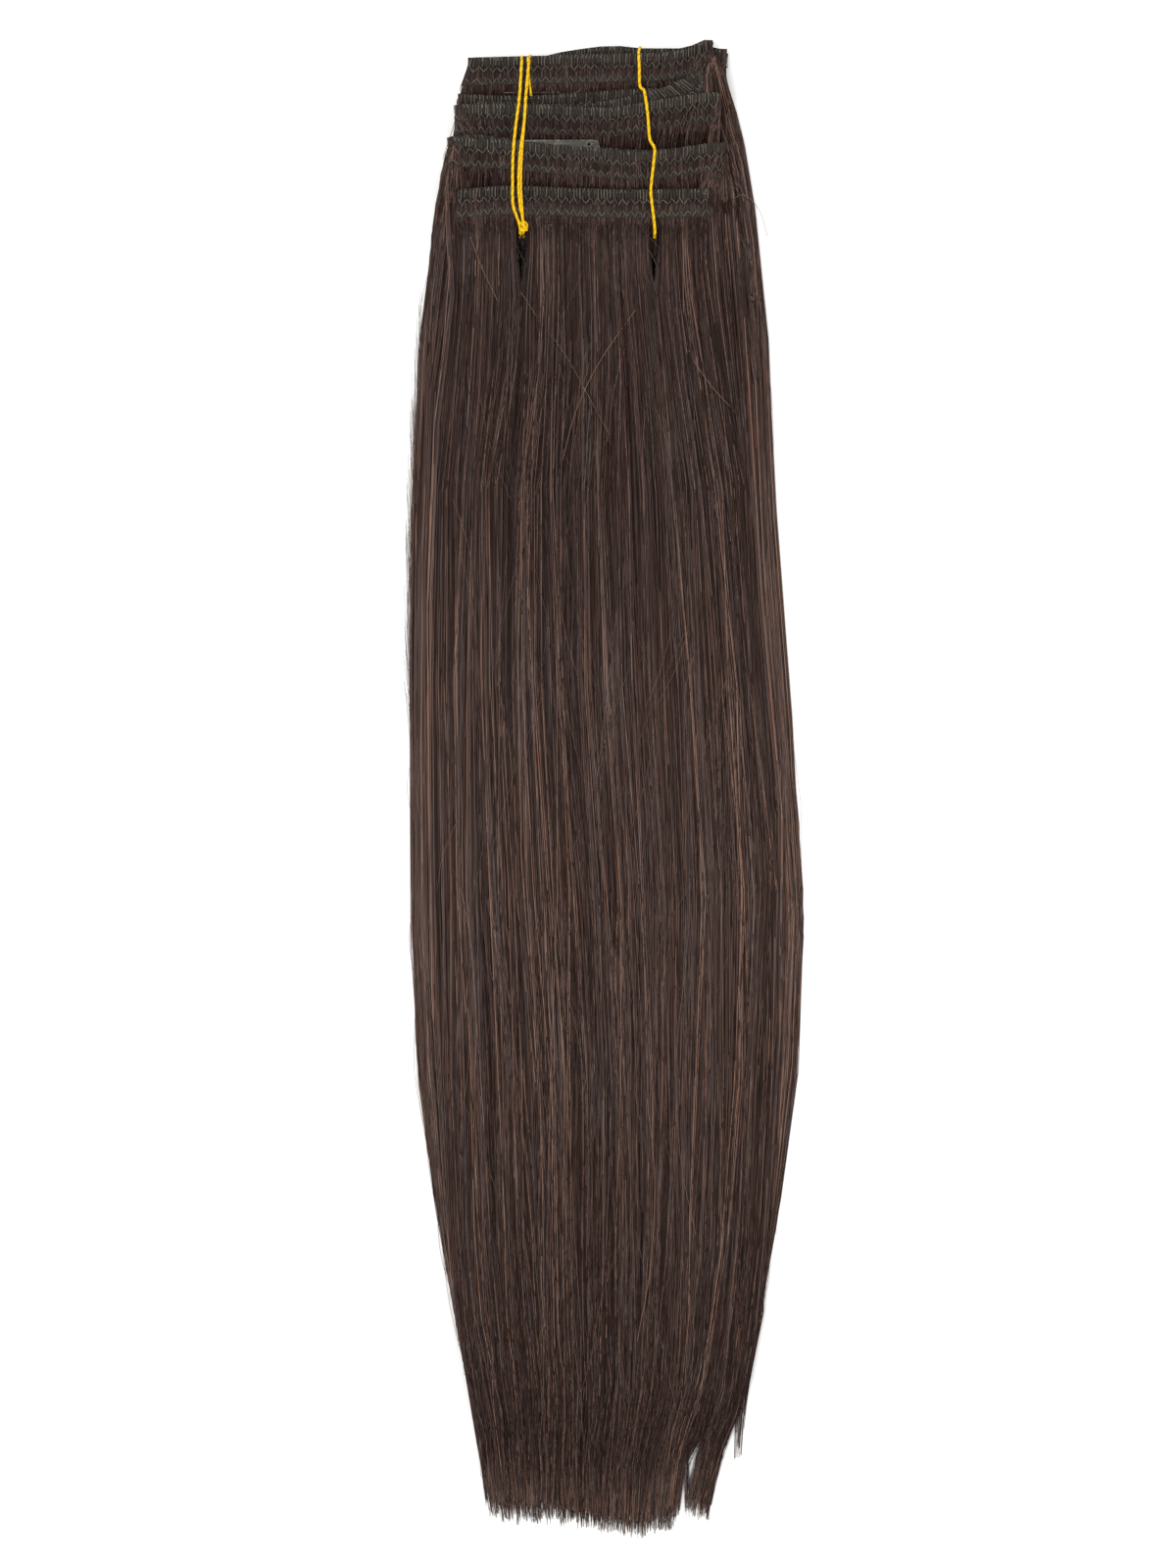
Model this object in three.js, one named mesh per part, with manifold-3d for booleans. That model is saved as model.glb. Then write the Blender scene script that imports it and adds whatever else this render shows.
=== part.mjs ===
// A bundle of clip-in hair extension wefts, stacked in tiers, tied with two gold threads and lying flat.
// Millimetres. +X runs across the wefts, +Y from the hair tips to the sewn edges, and +Z up from the
// surface that the bundle lies on. The origin is the middle of its bounding box, on that surface.
// A drop is a distance from the head of the bundle towards the tips, so it runs against Y.

import * as THREE from "three";
import { mergeVertices } from "three/addons/utils/BufferGeometryUtils.js";
import Module from "manifold-3d";

const { lerp, clamp, smoothstep, degToRad } = THREE.MathUtils;
const wasm = await Module();
wasm.setup();

// Hair
const hairLength = 508; // a 20 inch weft, from its sewn edge to its tips
const spreadWidth = 150; // the loose hair where it lies widest
const hairThickness = 2.3; // the hair of one weft where it is fullest
const rootThickness = 1; // the flattened hair inside a track
const tipThickness = 0.9;
const sideShare = 0.45; // of the thickness at its middle, at the hair's long sides
const lockRelief = 0.6; // depth of the valleys between locks
const lockNotch = 11; // how far a valley reaches up into the tips
const lockRagged = 9; // by which some locks are shorter than others
const sideStep = 1.8; // each weft's hair lies this much inside the hair below it

// Tracks, the sewn bands that hold the hair
const foldedWidth = 99; // an 8 inch weft folded in half, or a 4 inch weft laid flat
const headDrop = 57.2; // from the head of the bundle to the last track
const trackHeight = 10.5; // holds two rows of stitches
const trackWall = 1.4;
const trackSteps = 12; // along one layer
const turnSteps = 4; // round a fold
const rootInset = 1.5; // the hair starts this far inside a track's sewn edge
const mostTilt = 0.3; // rise over run of a track that leans on what is under it

// Clips, flat snap combs of steel
const clipLength = 32;
const clipHeight = 12.5;
const clipThickness = 1;
const clipBar = 3.4; // the strip along the sewn edge
const clipBow = 1.8; // the strip on the other three sides
const clipCorner = 2;
const clipTeeth = 6;
const toothGap = 1.2; // from a tooth's tip to the bow
const sewingHole = 0.6; // radius

// Ties
const threadDiameter = 1.1;
const slitWidth = 3.6; // the parting that a tie pulls in the hair
const slitLength = 22;
const slitDrop = 74; // where the ties go down through it
const knotRadius = 1.5;

// Fits
const clearance = 0.3; // between pieces that lie on each other
const hairGap = 0.4; // between the hair of two wefts
const tieLift = threadDiameter + 2 * clearance; // raises the head over the ties' lower runs

// The wefts from the lowest to the topmost. fold is the side of the fold: 1 right, -1 left, 0 none.
// edge is a share of headDrop. left, right, backEnd (the lower layer's free end) and a clip's middle
// are shares of foldedWidth. flare is how much wider the free end is below than above, and the drops
// of the front and back edge are how they wander, as shares of trackHeight. peek is how far a clip
// reaches past the sewn edge, as a share of clipHeight, and turn is in degrees. fan is the length over
// which the hair spreads to the bundle's outline, as a share of hairLength.
const wefts = [
  {
    fold: 1, edge: 0.06, left: -0.475, right: 0.469, backEnd: -0.44, flare: 0.1, fan: 0.05, locks: 4,
    front: [{ at: 0, drop: 0.35 }, { at: 0.23, drop: 0.25 }, { at: 0.3, drop: 0.07 }, { at: 0.42, drop: -0.1 },
      { at: 0.53, drop: -0.22 }, { at: 0.65, drop: -0.1 }, { at: 0.82, drop: -0.1 }, { at: 0.91, drop: -0.32 },
      { at: 1, drop: 0.03 }],
    back: [{ at: 0, drop: 0.3 }, { at: 1, drop: 0.1 }],
    clips: [{ middle: 0, peek: -0.2, turn: 0 }],
  },
  {
    fold: 1, edge: 0.11, left: -0.518, right: 0.412, backEnd: -0.47, flare: 0.35, fan: 0.08, locks: 4,
    front: [{ at: 0, drop: 0.06 }, { at: 0.25, drop: 0 }, { at: 0.7, drop: -0.1 }, { at: 0.81, drop: -0.12 },
      { at: 0.91, drop: -0.31 }, { at: 0.97, drop: -0.58 }, { at: 1, drop: -0.58 }],
    back: [{ at: 0, drop: 0.1 }, { at: 0.6, drop: 0.08 }, { at: 0.72, drop: -0.17 }, { at: 0.83, drop: -0.17 },
      { at: 0.91, drop: -0.37 }, { at: 0.97, drop: -0.6 }, { at: 1, drop: -0.6 }],
    clips: [{ middle: -0.25, peek: -0.1, turn: 0 }],
  },
  {
    fold: 0, edge: 0.35, left: -0.556, right: 0.385, backEnd: 0, flare: 0.1, fan: 0.11, locks: 4,
    front: [{ at: 0, drop: 0.08 }, { at: 0.26, drop: 0.16 }, { at: 0.5, drop: 0.02 }, { at: 0.72, drop: -0.12 },
      { at: 1, drop: -0.1 }],
    back: [],
    clips: [{ middle: 0.1, peek: -0.1, turn: 2 }],
  },
  {
    fold: -1, edge: 0.446, left: -0.575, right: 0.435, backEnd: 0.375, flare: 0.05, fan: 0.15, locks: 4,
    front: [{ at: 0, drop: 0 }, { at: 0.29, drop: 0 }, { at: 0.49, drop: 0.1 }, { at: 0.59, drop: 0.13 },
      { at: 0.72, drop: -0.09 }, { at: 0.83, drop: -0.23 }, { at: 0.96, drop: -0.44 }, { at: 1, drop: -0.4 }],
    back: [{ at: 0, drop: 0 }, { at: 0.12, drop: -0.19 }, { at: 0.23, drop: -0.12 }, { at: 0.49, drop: -0.05 },
      { at: 0.6, drop: -0.23 }, { at: 0.72, drop: -0.46 }, { at: 0.81, drop: -0.69 }, { at: 0.94, drop: -1.3 },
      { at: 1, drop: -1.3 }],
    clips: [{ middle: -0.35, peek: -0.1, turn: 0 }, { middle: 0.243, peek: 0.05, turn: 9 }],
  },
  {
    fold: -1, edge: 0.708, left: -0.6, right: 0.458, backEnd: 0.42, flare: 0.05, fan: 0.2, locks: 4,
    front: [{ at: 0, drop: -0.2 }, { at: 0.24, drop: -0.09 }, { at: 0.36, drop: 0.05 }, { at: 0.55, drop: 0.16 },
      { at: 0.6, drop: 0.26 }, { at: 0.69, drop: 0.32 }, { at: 0.79, drop: 0.23 }, { at: 0.97, drop: -0.04 },
      { at: 1, drop: -0.04 }],
    back: [{ at: 0, drop: -0.2 }, { at: 0.06, drop: -0.42 }, { at: 0.24, drop: -0.2 }, { at: 0.36, drop: -0.1 },
      { at: 0.69, drop: 0.2 }, { at: 1, drop: 0 }],
    clips: [{ middle: -0.183, peek: 0.21, turn: 0 }, { middle: 0.25, peek: -0.1, turn: 3 }],
  },
  {
    fold: 0, edge: 1, left: -0.567, right: 0.401, backEnd: 0, flare: 0.1, fan: 0.25, locks: 7,
    front: [{ at: 0, drop: 0.06 }, { at: 0.2, drop: -0.1 }, { at: 0.5, drop: 0.01 }, { at: 0.7, drop: 0.06 },
      { at: 1, drop: 0.01 }],
    back: [],
    clips: [{ middle: -0.08, peek: -0.1, turn: 0 }],
  },
];

// The outline of the loose hair and how full it is. at is a share of the bundle's length, left and
// right are shares of half the spread width, and full is a share of the hair thickness.
const outline = [
  { at: 0, left: 0.7, right: 0.59, full: 0.6 },
  { at: 0.039, left: 0.739, right: 0.639, full: 0.65 },
  { at: 0.072, left: 0.783, right: 0.704, full: 0.7 },
  { at: 0.105, left: 0.838, right: 0.733, full: 0.8 },
  { at: 0.171, left: 0.913, right: 0.803, full: 0.9 },
  { at: 0.236, left: 0.95, right: 0.84, full: 1 },
  { at: 0.303, left: 0.972, right: 0.853, full: 1 },
  { at: 0.4, left: 0.988, right: 0.895, full: 1 },
  { at: 0.514, left: 0.977, right: 0.982, full: 0.98 },
  { at: 0.6, left: 0.977, right: 1, full: 0.95 },
  { at: 0.699, left: 0.943, right: 0.967, full: 0.9 },
  { at: 0.804, left: 0.828, right: 0.853, full: 0.8 },
  { at: 0.857, left: 0.758, right: 0.783, full: 0.72 },
  { at: 0.91, left: 0.679, right: 0.69, full: 0.62 },
  { at: 0.963, left: 0.609, right: 0.569, full: 0.5 },
  { at: 1, left: 0.59, right: 0.53, full: 0.4 },
];

// The ties' upper runs, from the head to the slit. x is a share of foldedWidth, drop of slitDrop.
const ties = [
  {
    name: "tie_left", slitX: -0.322, knot: true,
    runs: [
      [{ x: -0.317, drop: 0.08 }, { x: -0.328, drop: 0.3 }, { x: -0.341, drop: 0.45 }, { x: -0.352, drop: 0.6 },
        { x: -0.356, drop: 0.76 }, { x: -0.351, drop: 0.87 }, { x: -0.33, drop: 0.95 }, { x: -0.328, drop: 1 }],
      [{ x: -0.288, drop: 0.08 }, { x: -0.302, drop: 0.3 }, { x: -0.311, drop: 0.45 }, { x: -0.324, drop: 0.6 },
        { x: -0.328, drop: 0.76 }, { x: -0.324, drop: 0.87 }, { x: -0.315, drop: 0.95 }, { x: -0.313, drop: 1 }],
    ],
    looseEnd: [{ x: -0.292, drop: 0.1 }, { x: -0.296, drop: 0.2 }, { x: -0.285, drop: 0.29 }],
  },
  {
    name: "tie_right", slitX: 0.187, knot: false,
    runs: [
      [{ x: 0.134, drop: 0.03 }, { x: 0.131, drop: 0.15 }, { x: 0.133, drop: 0.25 }, { x: 0.147, drop: 0.27 },
        { x: 0.162, drop: 0.42 }, { x: 0.17, drop: 0.53 }, { x: 0.188, drop: 0.58 }, { x: 0.185, drop: 0.64 },
        { x: 0.176, drop: 0.77 }, { x: 0.176, drop: 0.82 }, { x: 0.187, drop: 0.95 }, { x: 0.187, drop: 1 }],
    ],
    looseEnd: null,
  },
];

// A track's section: across is a share of its wall, and up a share of its height.
const trackSection = [
  { across: -0.5, up: 0 },
  { across: -0.5, up: 0.93 },
  { across: -0.2, up: 1 },
  { across: 0.2, up: 1 },
  { across: 0.5, up: 0.93 },
  { across: 0.5, up: 0 },
];

// A slit's outline: across is a share of half its width, and along a share of its length.
const slitOutline = [
  { across: 0, along: -0.22 },
  { across: 1, along: -0.1 },
  { across: 1, along: 0.2 },
  { across: 0.35, along: 0.6 },
  { across: 0, along: 0.88 },
  { across: -0.35, along: 0.6 },
  { across: -1, along: 0.2 },
  { across: -1, along: -0.1 },
];

const bundleLength = headDrop + hairLength;
const halfSpread = spreadWidth / 2;
const threadRadius = threadDiameter / 2;
const rowStep = 6; // between rows of hair near the tracks
const closeDrop = 108; // down to which the rows lie that close
const fieldStep = 1.5;
const fieldMargin = 6;

const materials = {
  hair: new THREE.MeshStandardMaterial({ color: 0x3d2c28, roughness: 0.6, metalness: 0 }),
  track: new THREE.MeshStandardMaterial({ color: 0x3a3029, roughness: 0.85, metalness: 0 }),
  clip: new THREE.MeshStandardMaterial({ color: 0x5c5a4c, roughness: 0.4, metalness: 0.9 }),
  thread: new THREE.MeshStandardMaterial({ color: 0xe0b010, roughness: 0.35, metalness: 0.6 }),
};

// Values from 0 to 1, spread evenly, that make the locks differ.
function vary(number) {
  return (number * 0.618) % 1;
}

// The value of one column of a table, between its rows.
function readTable(table, column, place) {
  const next = table.findIndex((row) => row.at >= place);
  if (next === 0) return table[0][column];
  if (next < 0) return table.at(-1)[column];
  const [a, b] = [table[next - 1], table[next]];
  return lerp(a[column], b[column], (place - a.at) / (b.at - a.at));
}

// A weft's row of the table in millimetres, and how high its layers lie over the plane it rests on.
function measure(row, index) {
  const leftX = row.left * foldedWidth;
  const rightX = row.right * foldedWidth;
  const edgeDrop = row.edge * headDrop;
  const rootLift = row.fold === 0 ? 0 : trackWall + clearance;
  const clipLift = rootLift + rootThickness + clearance;
  const frontLift = clipLift + clipThickness + clearance;
  const edgeOf = (side, x) => {
    const place = clamp((x - leftX) / (rightX - leftX), 0, 1);
    return edgeDrop + trackHeight * readTable(row[side], "drop", place);
  };
  const hasBack = (x) => row.fold !== 0 && row.fold * (x - row.backEnd * foldedWidth) >= 0;
  const frontEdge = (x) => edgeOf("front", x);
  const backEdge = (x) => (hasBack(x) ? edgeOf("back", x) : edgeOf("front", x));
  return {
    ...row,
    index,
    leftX,
    rightX,
    edgeDrop,
    rootLift,
    clipLift,
    frontLift,
    frontEdge,
    backEdge,
    highEdge: (x) => Math.min(frontEdge(x), backEdge(x)),
    lowEdge: (x) => Math.max(frontEdge(x), backEdge(x)),
    topLift: frontLift + trackWall,
    tipDrop: edgeDrop + hairLength,
  };
}

// The height of everything laid so far, over a grid of places.
const fieldXs = [];
for (let x = -halfSpread - fieldMargin; x <= halfSpread + fieldMargin; x += 2 * fieldStep) fieldXs.push(x);
const fieldDrops = [];
for (let drop = -fieldMargin; drop <= closeDrop; drop += fieldStep) fieldDrops.push(drop);
const farDrops = outline.map(({ at }) => at * bundleLength).filter((drop) => drop > closeDrop + rowStep);
for (const [i, drop] of farDrops.entries()) {
  const parts = i > 0 && drop > bundleLength / 1.5 ? 8 : 1;
  for (let part = 1; part <= parts; part += 1) fieldDrops.push(lerp(farDrops[i - 1] ?? drop, drop, part / parts));
}
const liftEnd = slitDrop + slitLength;
const field = fieldDrops.map((drop) => {
  return fieldXs.map(() => tieLift * (1 - smoothstep(drop, liftEnd, liftEnd + slitLength)));
});

function placeIn(list, value) {
  const held = clamp(value, list[0], list.at(-1));
  const after = Math.max(1, list.findIndex((entry) => entry >= held));
  return { before: after - 1, after, share: (held - list[after - 1]) / (list[after] - list[after - 1]) };
}

function heightAt(x, drop) {
  const row = placeIn(fieldDrops, drop);
  const column = placeIn(fieldXs, x);
  const along = (index) => lerp(field[index][column.before], field[index][column.after], column.share);
  return lerp(along(row.before), along(row.after), row.share);
}

function highestNear(x, drop, reachX, reachDrop) {
  let highest = heightAt(x, drop);
  for (let dx = -reachX; dx <= reachX + 1e-6; dx += Math.max(reachX / 3, 0.5)) {
    for (let dd = -reachDrop; dd <= reachDrop + 1e-6; dd += Math.max(reachDrop / 4, 0.5)) {
      highest = Math.max(highest, heightAt(x + dx, drop + dd));
    }
  }
  return highest;
}

function raiseField(heightOf) {
  for (const [i, drop] of fieldDrops.entries()) {
    for (const [j, x] of fieldXs.entries()) field[i][j] = Math.max(field[i][j], heightOf(x, drop));
  }
}

// Whether a weft's track covers a place, with some room around it.
function covers(weft, x, drop, room, below) {
  if (x < weft.leftX - room - weft.flare * trackHeight || x > weft.rightX + room) return false;
  return drop > weft.highEdge(x) - room && drop < weft.lowEdge(x) + trackHeight + below;
}

// The plane that a weft's track rests on: the one nearest to what is under it that clears it all.
function restPlane(weft) {
  const points = [];
  for (const drop of fieldDrops.filter((entry) => entry < closeDrop)) {
    for (const x of fieldXs) {
      if (covers(weft, x, drop, fieldStep, rowStep)) points.push({ drop, height: heightAt(x, drop) });
    }
  }
  let best = null;
  for (let tilt = -mostTilt; tilt <= mostTilt + 1e-6; tilt += mostTilt / 6) {
    const base = Math.max(...points.map((point) => point.height - tilt * point.drop));
    const spare = points.reduce((sum, point) => sum + base + tilt * point.drop - point.height, 0);
    if (!best || spare < best.spare) best = { base, tilt, spare };
  }
  const rise = weft.index === 0 ? 0 : clearance;
  return (drop) => best.base + best.tilt * drop + rise;
}

// The long sides of a weft's hair.
function hairSides(weft, drop) {
  const at = drop / bundleLength;
  const nearTips = smoothstep(at, 0.7, 0.95);
  const inset = sideStep * weft.index * (1 - 0.7 * nearTips);
  const turn = weft.topLift + clearance;
  const rootLeft = weft.leftX + (weft.fold < 0 ? turn : clearance);
  const rootRight = weft.rightX - (weft.fold > 0 ? turn : clearance);
  const rootEnd = weft.edgeDrop + trackHeight;
  const spread = smoothstep(drop, rootEnd, rootEnd + weft.fan * hairLength);
  return {
    left: lerp(rootLeft, inset - halfSpread * readTable(outline, "left", at), spread),
    right: lerp(rootRight, halfSpread * readTable(outline, "right", at) - inset, spread),
  };
}

function hairDepth(weft, across, drop) {
  const rootEnd = weft.edgeDrop + trackHeight;
  const body = smoothstep(drop, rootEnd, rootEnd + 4 * trackHeight);
  const full = hairThickness * readTable(outline, "full", drop / bundleLength);
  const tips = smoothstep(drop, weft.tipDrop - 8 * trackHeight, weft.tipDrop);
  const dome = 1 - (1 - sideShare) * body * across ** 2;
  return lerp(lerp(rootThickness, full, body), Math.min(full, tipThickness), tips) * dome;
}

// The lowest height at a place at which hair that hangs straight from the last row clears what is under it.
function spanSeat(from, x, drop, gap) {
  const reach = 2 * fieldStep;
  let lowest = highestNear(x, drop, reach, reach) + gap;
  for (let share = 0.3; share < 1; share += 0.1) {
    const near = reach * share;
    const under = highestNear(lerp(from.x, x, share), lerp(from.drop, drop, share), near, near) + gap / 2;
    lowest = Math.max(lowest, (under - (1 - share) * from.low) / share);
  }
  return lowest;
}

// One weft's hair as rows of points, each with the height of its underside and of its upper side.
function layHair(weft, plane) {
  const columns = 2 * weft.locks + 1;
  const columnStep = (2 * halfSpread) / (columns - 1);
  const gap = weft.index === 0 ? 0 : hairGap;
  const rows = [];
  const addRow = (dropOf, held) => {
    const row = [];
    for (let j = 0; j < columns; j += 1) {
      const share = j / (columns - 1);
      const inner = j > 0 && j < columns - 1;
      const { left, right } = hairSides(weft, dropOf(0, j));
      const shift = inner ? (0.25 * (vary(j + weft.index) - 0.5)) / columns : 0;
      const x = lerp(left, right, share + shift);
      const drop = dropOf(x, j);
      const near = 1 - smoothstep(drop, closeDrop - 4 * rowStep, closeDrop);
      const seat = highestNear(x, drop, columnStep * near, rowStep * near);
      const free = drop > closeDrop ? spanSeat(rows.at(-1)[j], x, drop, gap) : seat + gap;
      const low = held ? plane(drop) + weft.rootLift : free;
      const depth = held ? rootThickness : hairDepth(weft, 2 * share - 1, drop);
      const relief = inner && j % 2 === 0 && !held ? Math.min(lockRelief, depth / 2.5) : 0;
      row.push({ x, drop, low, high: low + depth, relief });
    }
    rows.push(row);
  };
  addRow((x) => weft.lowEdge(x) + rootInset, true);
  addRow((x) => weft.lowEdge(x) + trackHeight + clearance, true);
  const free = Math.max(...rows[1].map((point) => point.drop)) + rowStep / 3;
  for (let drop = 0; drop <= closeDrop; drop += rowStep) if (drop > free) addRow(() => drop, false);
  for (const drop of farDrops) if (drop < weft.tipDrop - rowStep) addRow(() => drop, false);
  addRow((x, j) => weft.tipDrop - (j % 2 ? lockRagged * vary(j + weft.index) : lockNotch), false);
  return rows;
}

// The upper side of laid hair at a place, for the next weft to lie on.
function hairHeightAt(rows, x, drop) {
  const across = (row) => {
    const first = row[0];
    const last = row.at(-1);
    if (x < first.x - fieldStep || x > last.x + fieldStep) return null;
    const held = clamp(x, first.x, last.x);
    const after = Math.max(1, row.findIndex((point) => point.x >= held));
    const share = (held - row[after - 1].x) / (row[after].x - row[after - 1].x);
    const between = (key) => lerp(row[after - 1][key], row[after][key], share);
    return { drop: between("drop"), high: between("high") };
  };
  for (let i = 1; i < rows.length; i += 1) {
    const [a, b] = [across(rows[i - 1]), across(rows[i])];
    if (a && b && drop >= a.drop && drop <= b.drop) {
      return lerp(a.high, b.high, (drop - a.drop) / (b.drop - a.drop));
    }
  }
  return -Infinity;
}

// A closed skin over rings of points that all run the same way round.
function skin(rings) {
  const count = rings[0].length;
  const positions = rings.flat().flatMap((point) => point.toArray());
  const index = [];
  for (let i = 0; i < rings.length - 1; i += 1) {
    for (let j = 0; j < count; j += 1) {
      const k = (j + 1) % count;
      const [a, b, c, d] = [i * count + j, i * count + k, (i + 1) * count + k, (i + 1) * count + j];
      index.push(a, b, c, a, c, d);
    }
  }
  const last = (rings.length - 1) * count;
  for (let j = 0; j < count / 2 - 1; j += 1) {
    const [a, b, c, d] = [j, j + 1, count - 2 - j, count - 1 - j];
    index.push(a, c, b, a, d, c);
    index.push(last + a, last + b, last + c, last + a, last + c, last + d);
  }
  const geometry = new THREE.BufferGeometry();
  geometry.setAttribute("position", new THREE.Float32BufferAttribute(positions, 3));
  geometry.setIndex(index);
  return geometry;
}

function hairGeometry(rows) {
  return skin(rows.map((row) => {
    const upper = row.map(({ x, drop, high, relief }) => new THREE.Vector3(x, -drop, high - relief));
    const lower = row.map(({ x, drop, low }) => new THREE.Vector3(x, -drop, low));
    return [...lower, ...upper.reverse()];
  }));
}

// A track: its lower layer, its fold and its upper layer, in one strip.
function trackGeometry(weft, plane) {
  const stations = [];
  const { fold, leftX, rightX } = weft;
  const middle = trackWall / 2;
  const frontMiddle = weft.frontLift + middle;
  const turnRadius = (frontMiddle - middle) / 2;
  const turnX = fold > 0 ? rightX - turnRadius - middle : leftX + turnRadius + middle;
  const start = fold === 0 ? leftX : turnX;
  const farEnd = fold > 0 ? leftX : rightX;
  if (fold !== 0) {
    for (let i = 0; i < trackSteps; i += 1) {
      const x = lerp(weft.backEnd * foldedWidth, turnX, i / trackSteps);
      stations.push({ x, lift: middle, angle: 0, edge: weft.backEdge(x), slant: 0 });
    }
    for (let i = 0; i < turnSteps; i += 1) {
      const angle = (Math.PI * i) / turnSteps;
      const x = turnX + fold * turnRadius * Math.sin(angle);
      const lift = middle + turnRadius * (1 - Math.cos(angle));
      const edge = lerp(weft.backEdge(turnX), weft.frontEdge(turnX), i / turnSteps);
      stations.push({ x, lift, angle, edge, slant: 0 });
    }
  }
  for (let i = 0; i <= trackSteps; i += 1) {
    const x = lerp(start, farEnd, i / trackSteps);
    const out = i === trackSteps || (i === 0 && fold === 0) ? Math.sign(x) * weft.flare : 0;
    stations.push({ x, lift: frontMiddle, angle: Math.PI, edge: weft.frontEdge(x), slant: out });
  }
  const way = fold === 0 ? -1 : fold;
  const rings = stations.map(({ x, lift, angle, edge, slant }) => trackSection.map(({ across, up }) => {
    const drop = edge + trackHeight * (1 - up);
    const off = across * trackWall;
    const side = x - way * Math.sin(angle) * off + slant * trackHeight * (1 - up);
    return new THREE.Vector3(side, -drop, plane(drop) + lift + Math.cos(angle) * off);
  }));
  return skin(way > 0 ? rings : rings.map((ring) => ring.reverse()));
}

function clipGeometry() {
  const outer = new THREE.Shape();
  const [w, h, r] = [clipLength / 2, clipHeight / 2, clipCorner];
  outer.moveTo(-w + r, -h);
  outer.lineTo(w - r, -h);
  outer.quadraticCurveTo(w, -h, w, -h + r);
  outer.lineTo(w, h - r);
  outer.quadraticCurveTo(w, h, w - r, h);
  outer.lineTo(-w + r, h);
  outer.quadraticCurveTo(-w, h, -w, h - r);
  outer.lineTo(-w, -h + r);
  outer.quadraticCurveTo(-w, -h, -w + r, -h);
  const inside = { left: -w + clipBow, right: w - clipBow, low: -h + clipBow, high: h - clipBar };
  const pitch = (inside.right - inside.left) / (2 * clipTeeth + 1);
  const comb = new THREE.Path();
  comb.moveTo(inside.left, inside.low);
  comb.lineTo(inside.left, inside.high);
  for (let i = 0; i < clipTeeth; i += 1) {
    const toothLeft = inside.left + (2 * i + 1) * pitch;
    comb.lineTo(toothLeft, inside.high);
    comb.lineTo(toothLeft + pitch * 0.2, inside.low + toothGap);
    comb.lineTo(toothLeft + pitch * 0.8, inside.low + toothGap);
    comb.lineTo(toothLeft + pitch, inside.high);
  }
  comb.lineTo(inside.right, inside.high);
  comb.lineTo(inside.right, inside.low);
  outer.holes.push(comb);
  for (const side of [-1, 1]) {
    const hole = new THREE.Path();
    hole.absarc(side * (w - 2 * clipCorner), h - clipBar / 2, sewingHole, 0, 2 * Math.PI, true);
    outer.holes.push(hole);
  }
  return new THREE.ExtrudeGeometry(outer, { depth: clipThickness, bevelEnabled: false, curveSegments: 2 });
}

function toSolid(geometry) {
  const loose = geometry.index ? geometry.toNonIndexed() : geometry;
  const bare = new THREE.BufferGeometry().setAttribute("position", loose.getAttribute("position"));
  const merged = mergeVertices(bare, 1e-4);
  return new wasm.Manifold(new wasm.Mesh({
    numProp: 3,
    vertProperties: merged.attributes.position.array,
    triVerts: new Uint32Array(merged.index.array),
  }));
}

function toGeometry(solid) {
  const mesh = solid.getMesh();
  const geometry = new THREE.BufferGeometry();
  geometry.setAttribute("position", new THREE.BufferAttribute(new Float32Array(mesh.vertProperties), 3));
  geometry.setIndex(new THREE.BufferAttribute(new Uint32Array(mesh.triVerts), 1));
  return geometry;
}

function slitSolid(tie) {
  const shape = new THREE.Shape(slitOutline.map(({ across, along }) => new THREE.Vector2(
    tie.slitX * foldedWidth + (across * slitWidth) / 2,
    -slitDrop - along * slitLength,
  )));
  const prism = new THREE.ExtrudeGeometry(shape, { depth: spreadWidth, bevelEnabled: false });
  prism.translate(0, 0, -halfSpread);
  return toSolid(prism);
}

// The points of a list of { s, z } that a taut thread touches when it runs over them all.
function tautOver(points) {
  const touched = [];
  for (const point of points) {
    while (touched.length > 1) {
      const [a, b] = touched.slice(-2);
      if ((b.z - a.z) * (point.s - a.s) > (point.z - a.z) * (b.s - a.s)) break;
      touched.pop();
    }
    touched.push(point);
  }
  return touched;
}

// One turn of thread round the head: over the tiers, down through the slit and back underneath.
function threadPath(run, laid) {
  const xs = run.map(({ x, drop }) => ({ at: drop * slitDrop, x: x * foldedWidth }));
  const startX = xs[0].x;
  const endX = xs.at(-1).x;
  const headEdge = Math.min(...laid.flatMap((weft) => [-1, 0, 1].map((dx) => weft.highEdge(startX + dx))));
  const profile = [];
  for (let drop = headEdge + clearance; drop <= slitDrop; drop += fieldStep) {
    const height = highestNear(readTable(xs, "x", drop), drop, threadDiameter, fieldStep);
    profile.push({ s: drop, z: height + clearance + threadRadius });
  }
  profile.at(-1).z -= threadDiameter;
  const taut = tautOver(profile).map(({ s, z }) => ({ at: s, z }));
  const lowest = clearance + threadRadius;
  const outside = headEdge - clearance - 1.5 * threadDiameter;
  const inside = slitDrop + threadRadius;
  const [top, endTop] = [taut[0].z, taut.at(-1).z];
  const points = [];
  for (const z of [lowest + threadDiameter, lerp(lowest, top, 0.5), top - threadDiameter]) {
    points.push(new THREE.Vector3(startX, -outside, z));
  }
  const stops = [...taut, ...xs].map(({ at }) => at).sort((a, b) => a - b);
  for (const drop of stops.filter((at, i) => i === 0 || at - stops[i - 1] > threadRadius)) {
    if (drop < headEdge || drop > slitDrop - threadDiameter) continue;
    points.push(new THREE.Vector3(readTable(xs, "x", drop), -drop, readTable(taut, "z", drop)));
  }
  for (const z of [endTop - threadDiameter, lerp(lowest, endTop, 0.5), lowest + threadDiameter]) {
    points.push(new THREE.Vector3(endX, -inside, z));
  }
  for (const share of [0.96, 0.75, 0.5, 0.25, 0.04]) {
    points.push(new THREE.Vector3(lerp(startX, endX, share), -lerp(headEdge, slitDrop, share), lowest));
  }
  return points;
}

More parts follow.
